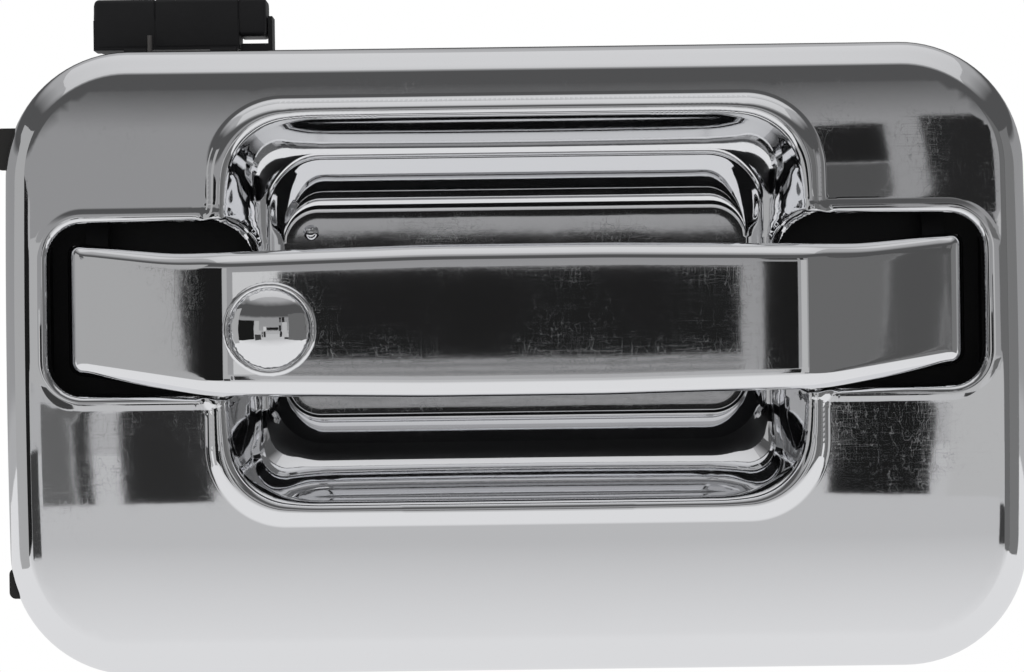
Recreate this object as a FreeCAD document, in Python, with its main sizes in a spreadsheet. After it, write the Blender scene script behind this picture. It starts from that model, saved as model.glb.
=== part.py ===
import FreeCAD, Part
import math
import os
import re

import Sketcher

# Outside door handle: a chromed cover with a finger scoop, and a pull strap hinged above it.
# X runs along the strap, Y runs into the door, and Z is up.
# The origin lies on the door skin, midway between the two mounting studs.

V = FreeCAD.Vector
doc = FreeCAD.newDocument("door_handle")

SIZES = [
    # cover (bezel)
    ("bezel_width", 231, "width of the cover"),
    ("bezel_height", 141.6, "height of the cover"),
    ("bezel_top", 88, "top edge above the stud line"),
    ("bezel_corner", 28, "corner radius in front view"),
    ("bezel_depth", 13, "face of the cover in front of the door skin"),
    ("bezel_wall", 2.2, "wall of the casting"),
    ("bezel_edge", 4, "round between face and side"),
    ("crown_radius", 420, "vertical crown of the face"),
    ("gasket_thick", 1.5, "gasket between cover and door skin"),
    ("gasket_width", 5, "width of the gasket ring"),
    ("gasket_inset", 1, "gasket behind the cover's edge"),
    ("tab_reach", 2.5, "upper gasket tab past the cover"),
    ("tab_top", 71, "top of the upper tab"),
    ("tab_length", 9.5, "length of the upper tab"),
    ("low_tab_reach", 0.5, "lower gasket tab past the cover"),
    ("low_tab_top", -29, "top of the lower tab"),
    ("low_tab_length", 7, "length of the lower tab"),
    ("tab_corner", 1.5, "corner radius of the tabs"),
    # finger scoop
    ("rim_width", 138, "width over the rolled rim"),
    ("rim_margin", 12.5, "rim outside the step, above"),
    ("rim_drop", 14, "rim outside the step, below"),
    ("rim_corner", 17, "corner radius of the rim"),
    ("rim_bead", 4.6, "width of the rolled rim"),
    ("rim_proud", 1, "rim in front of the face"),
    ("step_width", 112, "scoop width at the step"),
    ("step_top", 63.5, "top of the scoop at the step"),
    ("step_low", -5, "bottom of the scoop at the step"),
    ("step_depth", 1, "step behind the door skin"),
    ("step_ledge", 3.3, "ledge below the inner scoop"),
    ("step_corner", 12, "corner radius at the step"),
    ("floor_width", 107.6, "scoop floor width"),
    ("floor_top", 52.3, "top of the scoop floor"),
    ("floor_low", 4, "bottom of the scoop floor"),
    ("floor_depth", 16, "scoop floor behind the door skin"),
    ("floor_corner", 8, "corner radius of the floor"),
    ("pip_radius", 1.6, "locating pip on the floor"),
    ("pip_side", 47.5, "pip left of the middle"),
    ("pip_height", 47, "pip above the studs"),
    # end wells, where the strap ends sit
    ("well_low", 10, "bottom of the wells"),
    ("well_high", 48.7, "top of the wells"),
    ("well_gap", 5.8, "strap end to well wall"),
    ("well_open", 4, "wells open into the scoop beside the step"),
    ("well_corner", 8, "corner radius of the wells"),
    ("skirt_end", 5, "back of the well skirts in front of the skin"),
    # pull strap
    ("strap_inset", 14.5, "strap end to cover edge"),
    ("strap_flat", 132, "length of the bowed middle"),
    ("strap_reach", 28.5, "front of the strap from the skin"),
    ("strap_bow", 1.5, "bow of the middle"),
    ("strap_thick", 9, "thickness of the middle"),
    ("strap_wall", 2.5, "wall of the strap"),
    ("strap_tip", 10, "front of the strap ends from the skin"),
    ("strap_seat", 5.5, "back of the strap ends from the skin"),
    ("seat_length", 13, "flat seat at each strap end"),
    ("strap_top", 42.6, "top edge in the middle"),
    ("strap_low", 9, "bottom edge in the middle"),
    ("tip_top", 44.5, "top edge at the ends"),
    ("tip_low", 15, "bottom edge at the ends"),
    ("liner_thick", 2, "back cover of the strap"),
    ("liner_margin", 4, "strap edge round the liner"),
    # lock opening in the strap
    ("lock_side", 54, "lock centre left of the middle"),
    ("lock_height", 24.5, "lock centre above the studs"),
    ("ring_wall", 1.5, "wall of the raised ring"),
    ("ring_proud", 1.6, "ring in front of its seat"),
    ("cap_radius", 8.8, "radius of the blank cap"),
    ("cap_dome", 2.8, "height of the cap's dome"),
    ("cap_gap", 0.1, "gap round the cap"),
    # hinge of the grip
    ("pin_dia", 5, "hinge pin"),
    ("pivot_depth", 3, "hinge axis behind the door skin"),
    ("pivot_rise", 4, "pin clear above the scoop step"),
    ("run_fit", 0.05, "radial running clearance"),
    ("bush_wall", 1.5, "wall of the pivot bushes"),
    ("arm_thick", 5, "thickness of the pull arms"),
    ("arm_inset", 3, "arm inside the strap end"),
    ("arm_gap", 0.5, "arm to housing ears"),
    ("ear_thick", 2, "inner ears"),
    # housing
    ("plate_depth", 9.5, "front of the housing plate"),
    ("plate_thick", 3, "thickness of the plate"),
    ("plate_top", 82.5, "top of the plate"),
    ("plate_low", -11, "bottom of the plate"),
    ("plate_corner", 6, "corner radius of the plate"),
    ("foot_width", 140, "width of the plate's foot"),
    ("foot_corner", 4, "corner radius of the foot"),
    ("ear_front", 3.5, "ears in front of the pin"),
    ("ear_head", 5, "ears above and below the pin axis"),
    ("bumper_height", 34, "rest bumpers above the studs"),
    ("bumper_radius", 3.5, "pad of a rest bumper"),
    ("bumper_stem", 1.5, "stem of a rest bumper"),
    ("bumper_pad", 1.4, "thickness of the pad"),
    ("screw_dia", 3, "all small screws"),
    ("screw_bite", 6, "hole of a cover screw in its boss"),
    ("high_screw_side", 30, "upper cover screws from the middle"),
    ("low_screw_side", 50, "lower cover screws from the middle"),
    ("arm_screw_height", 30, "arm screws above the studs"),
    ("arm_screw_inset", 3.5, "arm screws inside the arms"),
    ("boss_radius", 3.6, "screw bosses"),
    ("stud_dia", 6, "mounting studs"),
    ("stud_spacing", 182, "between the studs"),
    ("stud_length", 16, "stud behind the door skin"),
    ("stud_root_dia", 8, "cast-in root of a stud"),
    ("stud_root", 8, "root in front of the door skin"),
    ("stud_relief", 0.3, "boss short of the door skin"),
    ("stud_boss", 6, "radius of the stud bosses"),
    # bellcrank
    ("crank_depth", 12, "bellcrank axis behind the door skin"),
    ("crank_rise", 12, "bellcrank axis above the grip axis"),
    ("crank_pin_dia", 4, "bellcrank pin"),
    ("crank_length", 26, "length of the bellcrank hub"),
    ("peg_reach", 21, "peg behind the grip axis"),
    ("peg_dia", 5, "peg that turns the bellcrank"),
    ("peg_gap", 0.35, "peg above the lobe"),
    ("rod_reach", 23, "latch rod hole from the bellcrank axis"),
    ("weight_dia", 9.8, "counterweight"),
    ("weight_length", 40, "counterweight with its boss"),
    ("weight_height", 96.5, "counterweight axis above the studs"),
    ("weight_depth", 17, "counterweight axis behind the skin"),
    ("weight_split", 14.3, "boss length up to the parting line"),
    # springs
    ("wire_dia", 1.2, "spring wire"),
    ("grip_coil", 18, "length of the grip spring"),
    ("crank_coil", 12, "length of the bellcrank spring"),
]
ALIASES = [name for name, value, note in SIZES]

sheet = doc.addObject("Spreadsheet::Sheet", "Dims")
for line, (alias, value, note) in enumerate(SIZES, start=1):
    sheet.set(f"A{line}", note)
    sheet.set(f"B{line}", str(value))
    sheet.setAlias(f"B{line}", alias)
doc.recompute()

# Places that several pieces share, as expressions of the sizes.
BEZEL_SIDE = "(bezel_width/2)"
BEZEL_LOW = "(bezel_top - bezel_height)"
STRAP_SIDE = "(bezel_width/2 - strap_inset)"
WELL_IN = "(step_width/2 + well_open)"
FOOT_IN = "(rim_width/2 + 1)"
WELL_OUT = f"({STRAP_SIDE} + well_gap)"
ARM_OUT = f"({STRAP_SIDE} - arm_inset)"
ARM_IN = f"({ARM_OUT} - arm_thick)"
EAR_OUT = f"({ARM_IN} - arm_gap)"
EAR_IN = f"({EAR_OUT} - ear_thick)"
END_EAR_IN = f"({ARM_OUT} + 1)"
END_EAR_OUT = f"({END_EAR_IN} + 1.75*ear_thick)"
PIVOT_Z = "(step_top + pivot_rise + pin_dia/2)"
PIN_R = "(pin_dia/2)"
BUSH_R = "(pin_dia/2 + run_fit + bush_wall)"
EYE_R = f"({BUSH_R} + 2)"
ARM_BACK = "(plate_depth - 1.5)"
CRANK_Z = f"({PIVOT_Z} + crank_rise)"
CRANK_PIN_R = "(crank_pin_dia/2)"
HUB_R = "(crank_pin_dia/2 + 2.5)"
CRANK_LEFT = f"({EAR_IN} - arm_gap)"
CRANK_RIGHT = f"({CRANK_LEFT} - crank_length)"
PEG_Y = "(pivot_depth + peg_reach)"
PEG_Z = f"({CRANK_Z} - 0.5)"
LOBE_TOP = f"({PEG_Z} - peg_dia/2 - peg_gap)"
ROD_Y = "(crank_depth + rod_reach)"
ROD_Z = f"({LOBE_TOP} - 3)"
WEIGHT_LEFT = f"({ARM_OUT} - 1)"
WEIGHT_RIGHT = f"({WEIGHT_LEFT} - weight_length)"
PLATE_BACK = "(plate_depth + plate_thick)"
RING_R = "(cap_radius + cap_gap + ring_wall)"
SCREW_TOP = f"({PIVOT_Z} + {PIN_R} + boss_radius + 2)"
SCREW_LOW = "(step_low - screw_dia/2)"
CROWN_FALL = f"(({SCREW_TOP} - bezel_top + bezel_height/2)^2/(2*crown_radius))"
BOSS_START = f"(-bezel_depth + bezel_wall/2 + {CROWN_FALL})"
STUD_BOSS_START = "(-bezel_depth + bezel_wall*0.75)"
WELL_FRONT = "(-bezel_depth + 1.5)"
RIM_THICK = "(bezel_wall*1.5)"
ARM_SCREW_X = f"({ARM_IN} - arm_screw_inset)"
BUMPER_X = f"({ARM_IN} + arm_thick/2)"


def ex(text):
    """The text of a formula, with each size named as a cell of the sheet."""
    return re.sub(r"[a-z]\w*", lambda word: "Dims." + word[0] if word[0] in ALIASES else word[0], text)


def num(text):
    """The present value of a formula."""
    return float(sheet.evalExpression(ex(str(text))))


def place(item, x="0", y="0", z="0", turn=None):
    """Put an object at a place given by formulas, with a turn if it has one."""
    if turn:
        item.Placement = FreeCAD.Placement(V(0, 0, 0), turn)
    for letter, text in zip("xyz", (x, y, z)):
        item.setExpression(f"Placement.Base.{letter}", ex(str(text)))
    return item


TURN = {
    "X": FreeCAD.Rotation(V(0, 1, 0), 90),
    "Y": FreeCAD.Rotation(V(1, 0, 0), -90),
    "Z": FreeCAD.Rotation(),
}


def rod(name, axis, start, radius, length):
    """A cylinder from its start point along +X, +Y or +Z."""
    item = doc.addObject("Part::Cylinder", name)
    item.setExpression("Radius", ex(str(radius)))
    item.setExpression("Height", ex(str(length)))
    return place(item, *start, turn=TURN[axis])


def block(name, low, high):
    """A box between two corners."""
    item = doc.addObject("Part::Box", name)
    for side, a, b in zip(("Length", "Width", "Height"), low, high):
        item.setExpression(side, ex(f"({b}) - ({a})"))
    return place(item, *low)


def fuse(name, *shapes):
    item = doc.addObject("Part::MultiFuse", name)
    item.Shapes = list(shapes)
    item.Refine = True
    return item


def cut(name, base, *tools):
    item = doc.addObject("Part::Cut", name)
    item.Base = base
    item.Tool = tools[0] if len(tools) == 1 else fuse(name + "_tools", *tools)
    item.Refine = True
    return item


def common(name, *shapes):
    item = doc.addObject("Part::MultiCommon", name)
    item.Shapes = list(shapes)
    item.Refine = True
    return item


# A sketch lies in the front view (XZ), the side view (YZ) or the plan view (XY).
FACING = {
    "XZ": FreeCAD.Rotation(V(1, 0, 0), V(0, 0, 1), V(0, -1, 0), "XYZ"),
    "YZ": FreeCAD.Rotation(V(0, 1, 0), V(0, 0, 1), V(1, 0, 0), "XYZ"),
    "XY": FreeCAD.Rotation(),
}


def new_sketch(name, view, depth):
    sketch = doc.addObject("Sketcher::SketchObject", name)
    where = {"XZ": ("0", depth, "0"), "YZ": (depth, "0", "0"), "XY": ("0", "0", depth)}[view]
    return place(sketch, *where, turn=FACING[view])


def tie(sketch, kind, where, text):
    """Dimension a point of a sketch from the origin, or a radius, with a formula."""
    index = sketch.addConstraint(Sketcher.Constraint(kind, *where, num(text)))
    sketch.setExpression(f"Constraints[{index}]", ex(text))


def outline(name, points, view="YZ", depth="0"):
    """A closed sketch through points; a point's third item is the radius of the arc it starts."""
    sketch = new_sketch(name, view, depth)
    spots = [V(num(point[0]), num(point[1]), 0) for point in points]
    count = len(points)
    for i, point in enumerate(points):
        start, end = spots[i], spots[(i + 1) % count]
        if len(point) == 3:
            radius = num(point[2])
            chord = end - start
            rise = math.sqrt(radius ** 2 - chord.Length ** 2 / 4)
            centre = (start + end) * 0.5 + V(-chord.y, chord.x, 0) * (rise / chord.Length)
            circle = Part.Circle(centre, V(0, 0, 1), radius)
            first = math.atan2(start.y - centre.y, start.x - centre.x)
            last = math.atan2(end.y - centre.y, end.x - centre.x)
            sketch.addGeometry(Part.ArcOfCircle(circle, first, last), False)
        else:
            sketch.addGeometry(Part.LineSegment(start, end), False)
    for i, point in enumerate(points):
        sketch.addConstraint(Sketcher.Constraint("Coincident", i, 2, (i + 1) % count, 1))
        tie(sketch, "DistanceX", (i, 1), str(point[0]))
        tie(sketch, "DistanceY", (i, 1), str(point[1]))
        if len(point) == 3:
            tie(sketch, "Radius", (i,), str(point[2]))
    return sketch


def rounded(name, left, right, low, high, radius, depth, view="XZ"):
    """A rectangle with round corners, facing front at a depth."""
    sketch = new_sketch(name, view, depth)
    x0, x1, z0, z1, r = (num(text) for text in (left, right, low, high, radius))
    corners = [(x1 - r, z0 + r, -90), (x1 - r, z1 - r, 0), (x0 + r, z1 - r, 90), (x0 + r, z0 + r, 180)]
    sides = [((x0 + r, z0), (x1 - r, z0)), ((x1, z0 + r), (x1, z1 - r)),
             ((x1 - r, z1), (x0 + r, z1)), ((x0, z1 - r), (x0, z0 + r))]
    for (a, b), (cx, cz, start) in zip(sides, corners):
        sketch.addGeometry(Part.LineSegment(V(*a, 0), V(*b, 0)), False)
        circle = Part.Circle(V(cx, cz, 0), V(0, 0, 1), r)
        arc = Part.ArcOfCircle(circle, math.radians(start), math.radians(start + 90))
        sketch.addGeometry(arc, False)
    for i in range(8):
        sketch.addConstraint(Sketcher.Constraint("Tangent", i, 2, (i + 1) % 8, 1))
    for i in (0, 4):
        sketch.addConstraint(Sketcher.Constraint("Horizontal", i))
    for i in (2, 6):
        sketch.addConstraint(Sketcher.Constraint("Vertical", i))
    tie(sketch, "DistanceY", (0, 1), low)
    tie(sketch, "DistanceX", (2, 1), right)
    tie(sketch, "DistanceY", (4, 1), high)
    tie(sketch, "DistanceX", (6, 1), left)
    for i in (1, 3, 5, 7):
        tie(sketch, "Radius", (i,), radius)
    return sketch


def extrude(name, sketch, length, backwards=False):
    """Pull a sketch along its normal: -Y, +X or +Z for the front, side and plan views."""
    item = doc.addObject("Part::Extrusion", name)
    item.Base = sketch
    item.DirMode = "Normal"
    item.Solid = True
    item.Reversed = backwards
    item.setExpression("LengthFwd", ex(length))
    return item


def loft(name, first, second):
    item = doc.addObject("Part::Loft", name)
    item.Sections = [first, second]
    item.Solid = True
    item.Ruled = True
    return item


def ring(name, axis, start, inner, outer, length):
    """A tube along an axis."""
    return cut(name, rod(name + "_outer", axis, start, outer, length),
               rod(name + "_bore", axis, start, inner, length))


def revolve_y(name, points, x, z):
    """Turn a profile of (radius, Y) points about an axis along Y at x, z."""
    sketch = outline(name + "_profile", points, "XY")
    item = doc.addObject("Part::Revolution", name)
    item.Source = sketch
    item.Axis = V(0, 1, 0)
    item.Base = V(0, 0, 0)
    item.Angle = 360
    item.Solid = True
    return place(item, x, "0", z)


NODES = {}


def node(name, item):
    """Name a finished piece; each piece is written to a file of its name."""
    item.Label = name
    NODES[name] = item
    return item


# ---- cover -------------------------------------------------------------------

def crown(name, inset):
    """A long cylinder whose front is the crowned face of the cover."""
    middle = f"(bezel_top - bezel_height/2)"
    return rod(name, "X", (f"-{BEZEL_SIDE} - 5", "crown_radius - bezel_depth", middle),
               f"crown_radius - {inset}", "bezel_width + 10")


def bezel_block(name, inset, rear):
    """The cover's outline, pulled forward and rounded off by the crown."""
    sketch = rounded(name + "_outline", f"-{BEZEL_SIDE} + {inset}", f"{BEZEL_SIDE} - {inset}",
                     f"{BEZEL_LOW} + {inset}", f"bezel_top - {inset}", f"bezel_corner - {inset}", rear)
    prism = extrude(name + "_prism", sketch, "bezel_depth + 2")
    return common(name, prism, crown(name + "_crown", inset))


def scoop(name, wall):
    """Two lofts that make the stepped scoop, grown by a wall."""
    lip = f"(rim_width/2 - rim_bead + {wall})"
    mouth = rounded(name + "_mouth", f"-{lip}", lip,
                    f"step_low - rim_drop + rim_bead - {wall}",
                    f"step_top + rim_margin - rim_bead + {wall}",
                    f"rim_corner - rim_bead + {wall}", "-bezel_depth - rim_proud")
    half = f"(step_width/2 + {wall})"
    step = rounded(name + "_step", f"-{half}", half, f"step_low - {wall}", f"step_top + {wall}",
                   f"step_corner + {wall}", f"step_depth + {wall}")
    inner = rounded(name + "_inner", f"-{half}", half, f"step_low + step_ledge - {wall}",
                    f"step_top + {wall}", f"step_corner + {wall}", "step_depth")
    side = f"(floor_width/2 + {wall})"
    floor = rounded(name + "_floor", f"-{side}", side, f"floor_low - {wall}", f"floor_top + {wall}",
                    f"floor_corner + {wall}", f"floor_depth + {wall}")
    return loft(name + "_upper", mouth, step), loft(name + "_lower", inner, floor)


def well(name, side, wall, front, back):
    """One end well as a prism: side is -1 for left and 1 for right."""
    near, far = f"({WELL_IN} - {wall})", f"({WELL_OUT} + {wall})"
    left, right = (near, far) if side > 0 else (f"-{far}", f"-{near}")
    sketch = rounded(name + "_outline", left, right, f"well_low - {wall}", f"well_high + {wall}",
                     f"well_corner + {wall}", back)
    return extrude(name, sketch, f"({back}) - ({front})")


def rim():
    """The rolled rim round the scoop."""
    side = "(rim_width/2)"
    sketch = rounded("rim_outline", f"-{side}", side, "step_low - rim_drop", "step_top + rim_margin",
                     "rim_corner", f"-bezel_depth + {RIM_THICK}")
    return extrude("rim_band", sketch, f"{RIM_THICK} + rim_proud")


SCREWS = [("-high_screw_side", SCREW_TOP, BOSS_START), ("high_screw_side", SCREW_TOP, BOSS_START),
          ("-low_screw_side", SCREW_LOW, "step_depth + 1"), ("low_screw_side", SCREW_LOW, "step_depth + 1")]


def make_bezel():
    outer = bezel_block("bezel_skin", "0", "-gasket_thick")
    cavity = bezel_block("bezel_cavity", "bezel_wall", "0")
    upper, lower = scoop("cup", "bezel_wall")
    upper_cut, lower_cut = scoop("scoop", "0")
    skirts = [well("skirt_a", -1, "bezel_wall", WELL_FRONT, "-skirt_end"),
              well("skirt_b", 1, "bezel_wall", WELL_FRONT, "-skirt_end")]
    wells = [well("well_a", -1, "0", "-bezel_depth - 2", "0"),
             well("well_b", 1, "0", "-bezel_depth - 2", "0")]
    bosses = []
    holes = []
    for i, (x, z, start) in enumerate(SCREWS):
        bosses.append(rod(f"screw_boss_{i}", "Y", (x, start, z), "boss_radius", f"plate_depth - ({start})"))
        holes.append(rod(f"screw_hole_{i}", "Y", (x, "plate_depth - screw_bite", z), "screw_dia/2",
                         "screw_bite"))
    for i, sign in enumerate(("-", "")):
        x = f"{sign}stud_spacing/2"
        bosses.append(rod(f"stud_boss_{i}", "Y", (x, STUD_BOSS_START, "0"), "stud_boss",
                          f"-stud_relief - {STUD_BOSS_START}"))
        holes.append(rod(f"stud_hole_{i}", "Y", (x, "-stud_root", "0"), "stud_root_dia/2", "stud_root"))
    shell = cut("bezel_shell", outer, cavity)
    skin_only = common("bezel_skirts", fuse("skirt_pair", *skirts), outer)
    solid = fuse("bezel_solid", shell, upper, lower, rim(), skin_only, *bosses)
    pip = rod("floor_pip", "Y", ("-pip_side", "floor_depth - 1", "pip_height"), "pip_radius", "1.5")
    open_scoop = cut("bezel_open", solid, upper_cut, lower_cut, *wells, *holes)
    node("bezel", fuse("bezel", open_scoop, pip))


def make_gasket():
    rings = []
    for name, inset in (("gasket_outer", "gasket_inset"), ("gasket_inner", "(gasket_inset + gasket_width)")):
        sketch = rounded(name + "_outline", f"-{BEZEL_SIDE} + {inset}", f"{BEZEL_SIDE} - {inset}",
                         f"{BEZEL_LOW} + {inset}", f"bezel_top - {inset}", f"bezel_corner - {inset}", "0")
        rings.append(extrude(name, sketch, "gasket_thick"))
    tabs = []
    for name, prefix in (("upper", ""), ("lower", "low_")):
        sketch = rounded(name + "_tab_outline", f"-{BEZEL_SIDE} - {prefix}tab_reach",
                         f"-{BEZEL_SIDE} + gasket_inset + gasket_width/2",
                         f"{prefix}tab_top - {prefix}tab_length", f"{prefix}tab_top", "tab_corner", "0")
        tabs.append(extrude(name + "_tab", sketch, "gasket_thick"))
    notches = [rod(f"gasket_notch_{i}", "Y", (x, "-gasket_thick", z), "boss_radius + 0.2", "gasket_thick")
               for i, (x, z, start) in enumerate(SCREWS)]
    node("door_gasket", cut("gasket", fuse("gasket_body", rings[0], *tabs), rings[1], *notches))


# ---- housing -----------------------------------------------------------------

EAR_FRONT = f"(pivot_depth - {PIN_R} - ear_front)"
EAR_FOOT = "(plate_depth + 1)"


def ear(name, x0, x1, points, hole_y, hole_z, hole_r):
    """An upright ear with a pin hole, between two X planes."""
    plate = extrude(name + "_plate", outline(name + "_outline", points, "YZ", x0), f"({x1}) - ({x0})")
    hole = rod(name + "_hole", "X", (x0, hole_y, hole_z), hole_r, f"({x1}) - ({x0})")
    return cut(name, plate, hole)


def hinge_ear(name, x0, x1):
    points = [(EAR_FRONT, f"{PIVOT_Z} - ear_head"), (EAR_FOOT, f"{PIVOT_Z} - 2.4*ear_head"),
              (EAR_FOOT, f"{PIVOT_Z} + ear_head"), (EAR_FRONT, f"{PIVOT_Z} + ear_head")]
    return ear(name, x0, x1, points, "pivot_depth", PIVOT_Z, PIN_R)


def saddle_ear(name, x0, x1):
    """An ear that backs the pin without going round it, where the scoop is close."""
    points = [("pivot_depth", f"{PIVOT_Z} - 0.6*ear_head"), (EAR_FOOT, f"{PIVOT_Z} - 1.2*ear_head"),
              (EAR_FOOT, f"{PIVOT_Z} + ear_head"), ("pivot_depth", f"{PIVOT_Z} + ear_head")]
    return ear(name, x0, x1, points, "pivot_depth", PIVOT_Z, PIN_R)


STAND_OUT = f"(-{CRANK_RIGHT} + 5)"
FIN_LOW = f"({CRANK_Z} + 4.5)"


def make_housing():
    far = f"({WELL_OUT} + bezel_wall)"
    front = "(-skirt_end + 0.5)"
    top = rounded("plate_top_outline", f"-{far}", far, "well_low - bezel_wall", "plate_top", "plate_corner",
                  PLATE_BACK)
    foot = rounded("plate_foot_outline", "-foot_width/2", "foot_width/2", "plate_low",
                   "well_low + foot_corner", "foot_corner", PLATE_BACK)
    plate = [extrude("plate_upper", top, "plate_thick"), extrude("plate_lower", foot, "plate_thick")]
    window = block("scoop_window", ("-floor_width/2 - bezel_wall - 3", "plate_depth - 1", "floor_low - 6.2"),
                   ("floor_width/2 + bezel_wall + 3", f"{PLATE_BACK} + 1", "step_top - 2.5"))
    notch = block("crank_notch", (f"-{ARM_OUT} - 0.9", "plate_depth - 1", f"{PIVOT_Z} - 6"),
                  (f"-{CRANK_RIGHT} + 2", f"{PLATE_BACK} + 1", "plate_top + 1"))
    pin_room = block("crank_pin_room", (f"-{CRANK_RIGHT} + 1", "plate_depth - 1", f"{CRANK_Z} - 6"),
                     (f"-{WEIGHT_RIGHT} + 3", f"{PLATE_BACK} + 1", "plate_top + 1"))
    walls = []
    for sign, mark in ((-1, "left"), (1, "right")):
        wall_in, wall_out = (WELL_OUT, far) if sign > 0 else (f"-{far}", f"-{WELL_OUT}")
        walls.append(block(f"well_side_{mark}", (wall_in, front, "well_low"),
                           (wall_out, "plate_depth + 0.5", "well_high + bezel_wall")))
        a, b = (FOOT_IN, far) if sign > 0 else (f"-{far}", f"-{FOOT_IN}")
        walls.append(block(f"well_foot_{mark}", (a, front, "well_low - bezel_wall"),
                           (b, "plate_depth + 0.5", "well_low")))
    ears = [hinge_ear("ear_right_in", EAR_IN, EAR_OUT), hinge_ear("ear_right_end", END_EAR_IN, END_EAR_OUT),
            hinge_ear("ear_left_end", f"-{END_EAR_OUT}", f"-{END_EAR_IN}"),
            saddle_ear("ear_middle", "-2", "2")]
    tower_back = f"crank_depth + {HUB_R} + 1.5"
    tower = [(EAR_FRONT, f"{PIVOT_Z} - ear_head"), (EAR_FOOT, f"{PIVOT_Z} - 2.4*ear_head"),
             (EAR_FOOT, f"{PIVOT_Z} - 0.8*ear_head"), (tower_back, f"{CRANK_Z} - ear_head"),
             (tower_back, f"{CRANK_Z} + ear_head"), (f"crank_depth - {HUB_R}", f"{CRANK_Z} + ear_head"),
             (EAR_FRONT, f"{PIVOT_Z} + ear_head")]
    left = ear("ear_left_in", f"-{EAR_OUT}", f"-{EAR_IN}", tower, "pivot_depth", PIVOT_Z, PIN_R)
    crank_hole = rod("tower_crank_hole", "X", (f"-{EAR_OUT}", "crank_depth", CRANK_Z), CRANK_PIN_R,
                     "ear_thick")
    stand_top, stand_foot = f"{CRANK_Z} + 6.5", f"{PIVOT_Z} - 1.2*ear_head"
    stand = [("plate_depth + 0.5", stand_foot), (tower_back, stand_foot), (tower_back, stand_top),
             (f"crank_depth - {HUB_R}", stand_top), (f"crank_depth - {HUB_R}", f"{CRANK_Z} - ear_head")]
    stand_in = f"(-{CRANK_RIGHT} + 1)"
    stand_ear = ear("ear_crank", stand_in, STAND_OUT, stand, "crank_depth", CRANK_Z, CRANK_PIN_R)
    fin = block("stop_fin", (f"-{WEIGHT_RIGHT} + 0.3", "weight_depth - 4", FIN_LOW),
                (f"-{WEIGHT_RIGHT} + 1.3", "weight_depth + 4", "weight_height + 0.8"))
    fin_foot = block("fin_foot", (stand_in, "weight_depth - 4", FIN_LOW),
                     (f"-{WEIGHT_RIGHT} + 1.3", "weight_depth - 0.5", "weight_height - weight_dia/2 - 0.6"))
    holes = [rod(f"plate_hole_{i}", "Y", (x, "plate_depth", z), "screw_dia/2 + 0.2", "plate_thick")
             for i, (x, z, start) in enumerate(SCREWS)]
    seats = [rod(f"bumper_hole_{mark}", "Y", (f"{sign}{BUMPER_X}", "plate_depth", "bumper_height"),
                 "bumper_stem", "plate_thick") for mark, sign in (("left", "-"), ("right", ""))]
    eye_room = rod("eye_room", "X", (f"{ARM_IN} - arm_gap", "pivot_depth", PIVOT_Z), f"{EYE_R} + 0.35",
                   "arm_thick + 2*arm_gap")
    base = cut("plate_open", fuse("plate_body", *plate), window, notch, pin_room, eye_room, *holes, *seats)
    tower_ear = cut("tower", left, crank_hole)
    node("housing", fuse("housing_solid", base, *walls, *ears, tower_ear, stand_ear, fin, fin_foot))


def make_bumpers():
    for mark, sign in (("left", "-"), ("right", "")):
        x = f"{sign}{BUMPER_X}"
        pad_start = (x, "plate_depth - bumper_pad", "bumper_height")
        pad = rod(f"bumper_pad_{mark}", "Y", pad_start, "bumper_radius", "bumper_pad")
        seat = (x, "plate_depth", "bumper_height")
        stem = rod(f"bumper_stem_{mark}", "Y", seat, "bumper_stem", "plate_thick")
        tip = (x, PLATE_BACK, "bumper_height")
        knob = rod(f"bumper_knob_{mark}", "Y", tip, "bumper_stem*1.5", "bumper_stem")
        node(f"rest_bumper_{mark}", fuse(f"bumper_{mark}", pad, stem, knob))


def make_fixings():
    screws = []
    for i, (x, z, start) in enumerate(SCREWS):
        shank = rod(f"shank_{i}", "Y", (x, "plate_depth - screw_bite + 0.5", z), "screw_dia/2",
                    "plate_thick + screw_bite - 0.5")
        head = rod(f"head_{i}", "Y", (x, PLATE_BACK, z), "screw_dia", "2")
        socket = rod(f"socket_{i}", "Y", (x, f"{PLATE_BACK} + 1", z), "screw_dia*0.35", "1")
        screws.append(cut(f"screw_{i}", fuse(f"screw_body_{i}", shank, head), socket))
    group = doc.addObject("Part::Compound", "bezel_screws")
    group.Links = screws
    node("bezel_screws", group)
    for mark, sign in (("left", "-"), ("right", "")):
        x = f"{sign}stud_spacing/2"
        root = rod(f"stud_root_{mark}", "Y", (x, "-stud_root", "0"), "stud_root_dia/2",
                   "stud_root - stud_relief")
        thread = rod(f"stud_thread_{mark}", "Y", (x, "-stud_relief", "0"), "stud_dia/2",
                     "stud_length + stud_relief")
        node(f"mounting_stud_{mark}", fuse(f"stud_{mark}", root, thread))


# ---- grip hinge --------------------------------------------------------------

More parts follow.
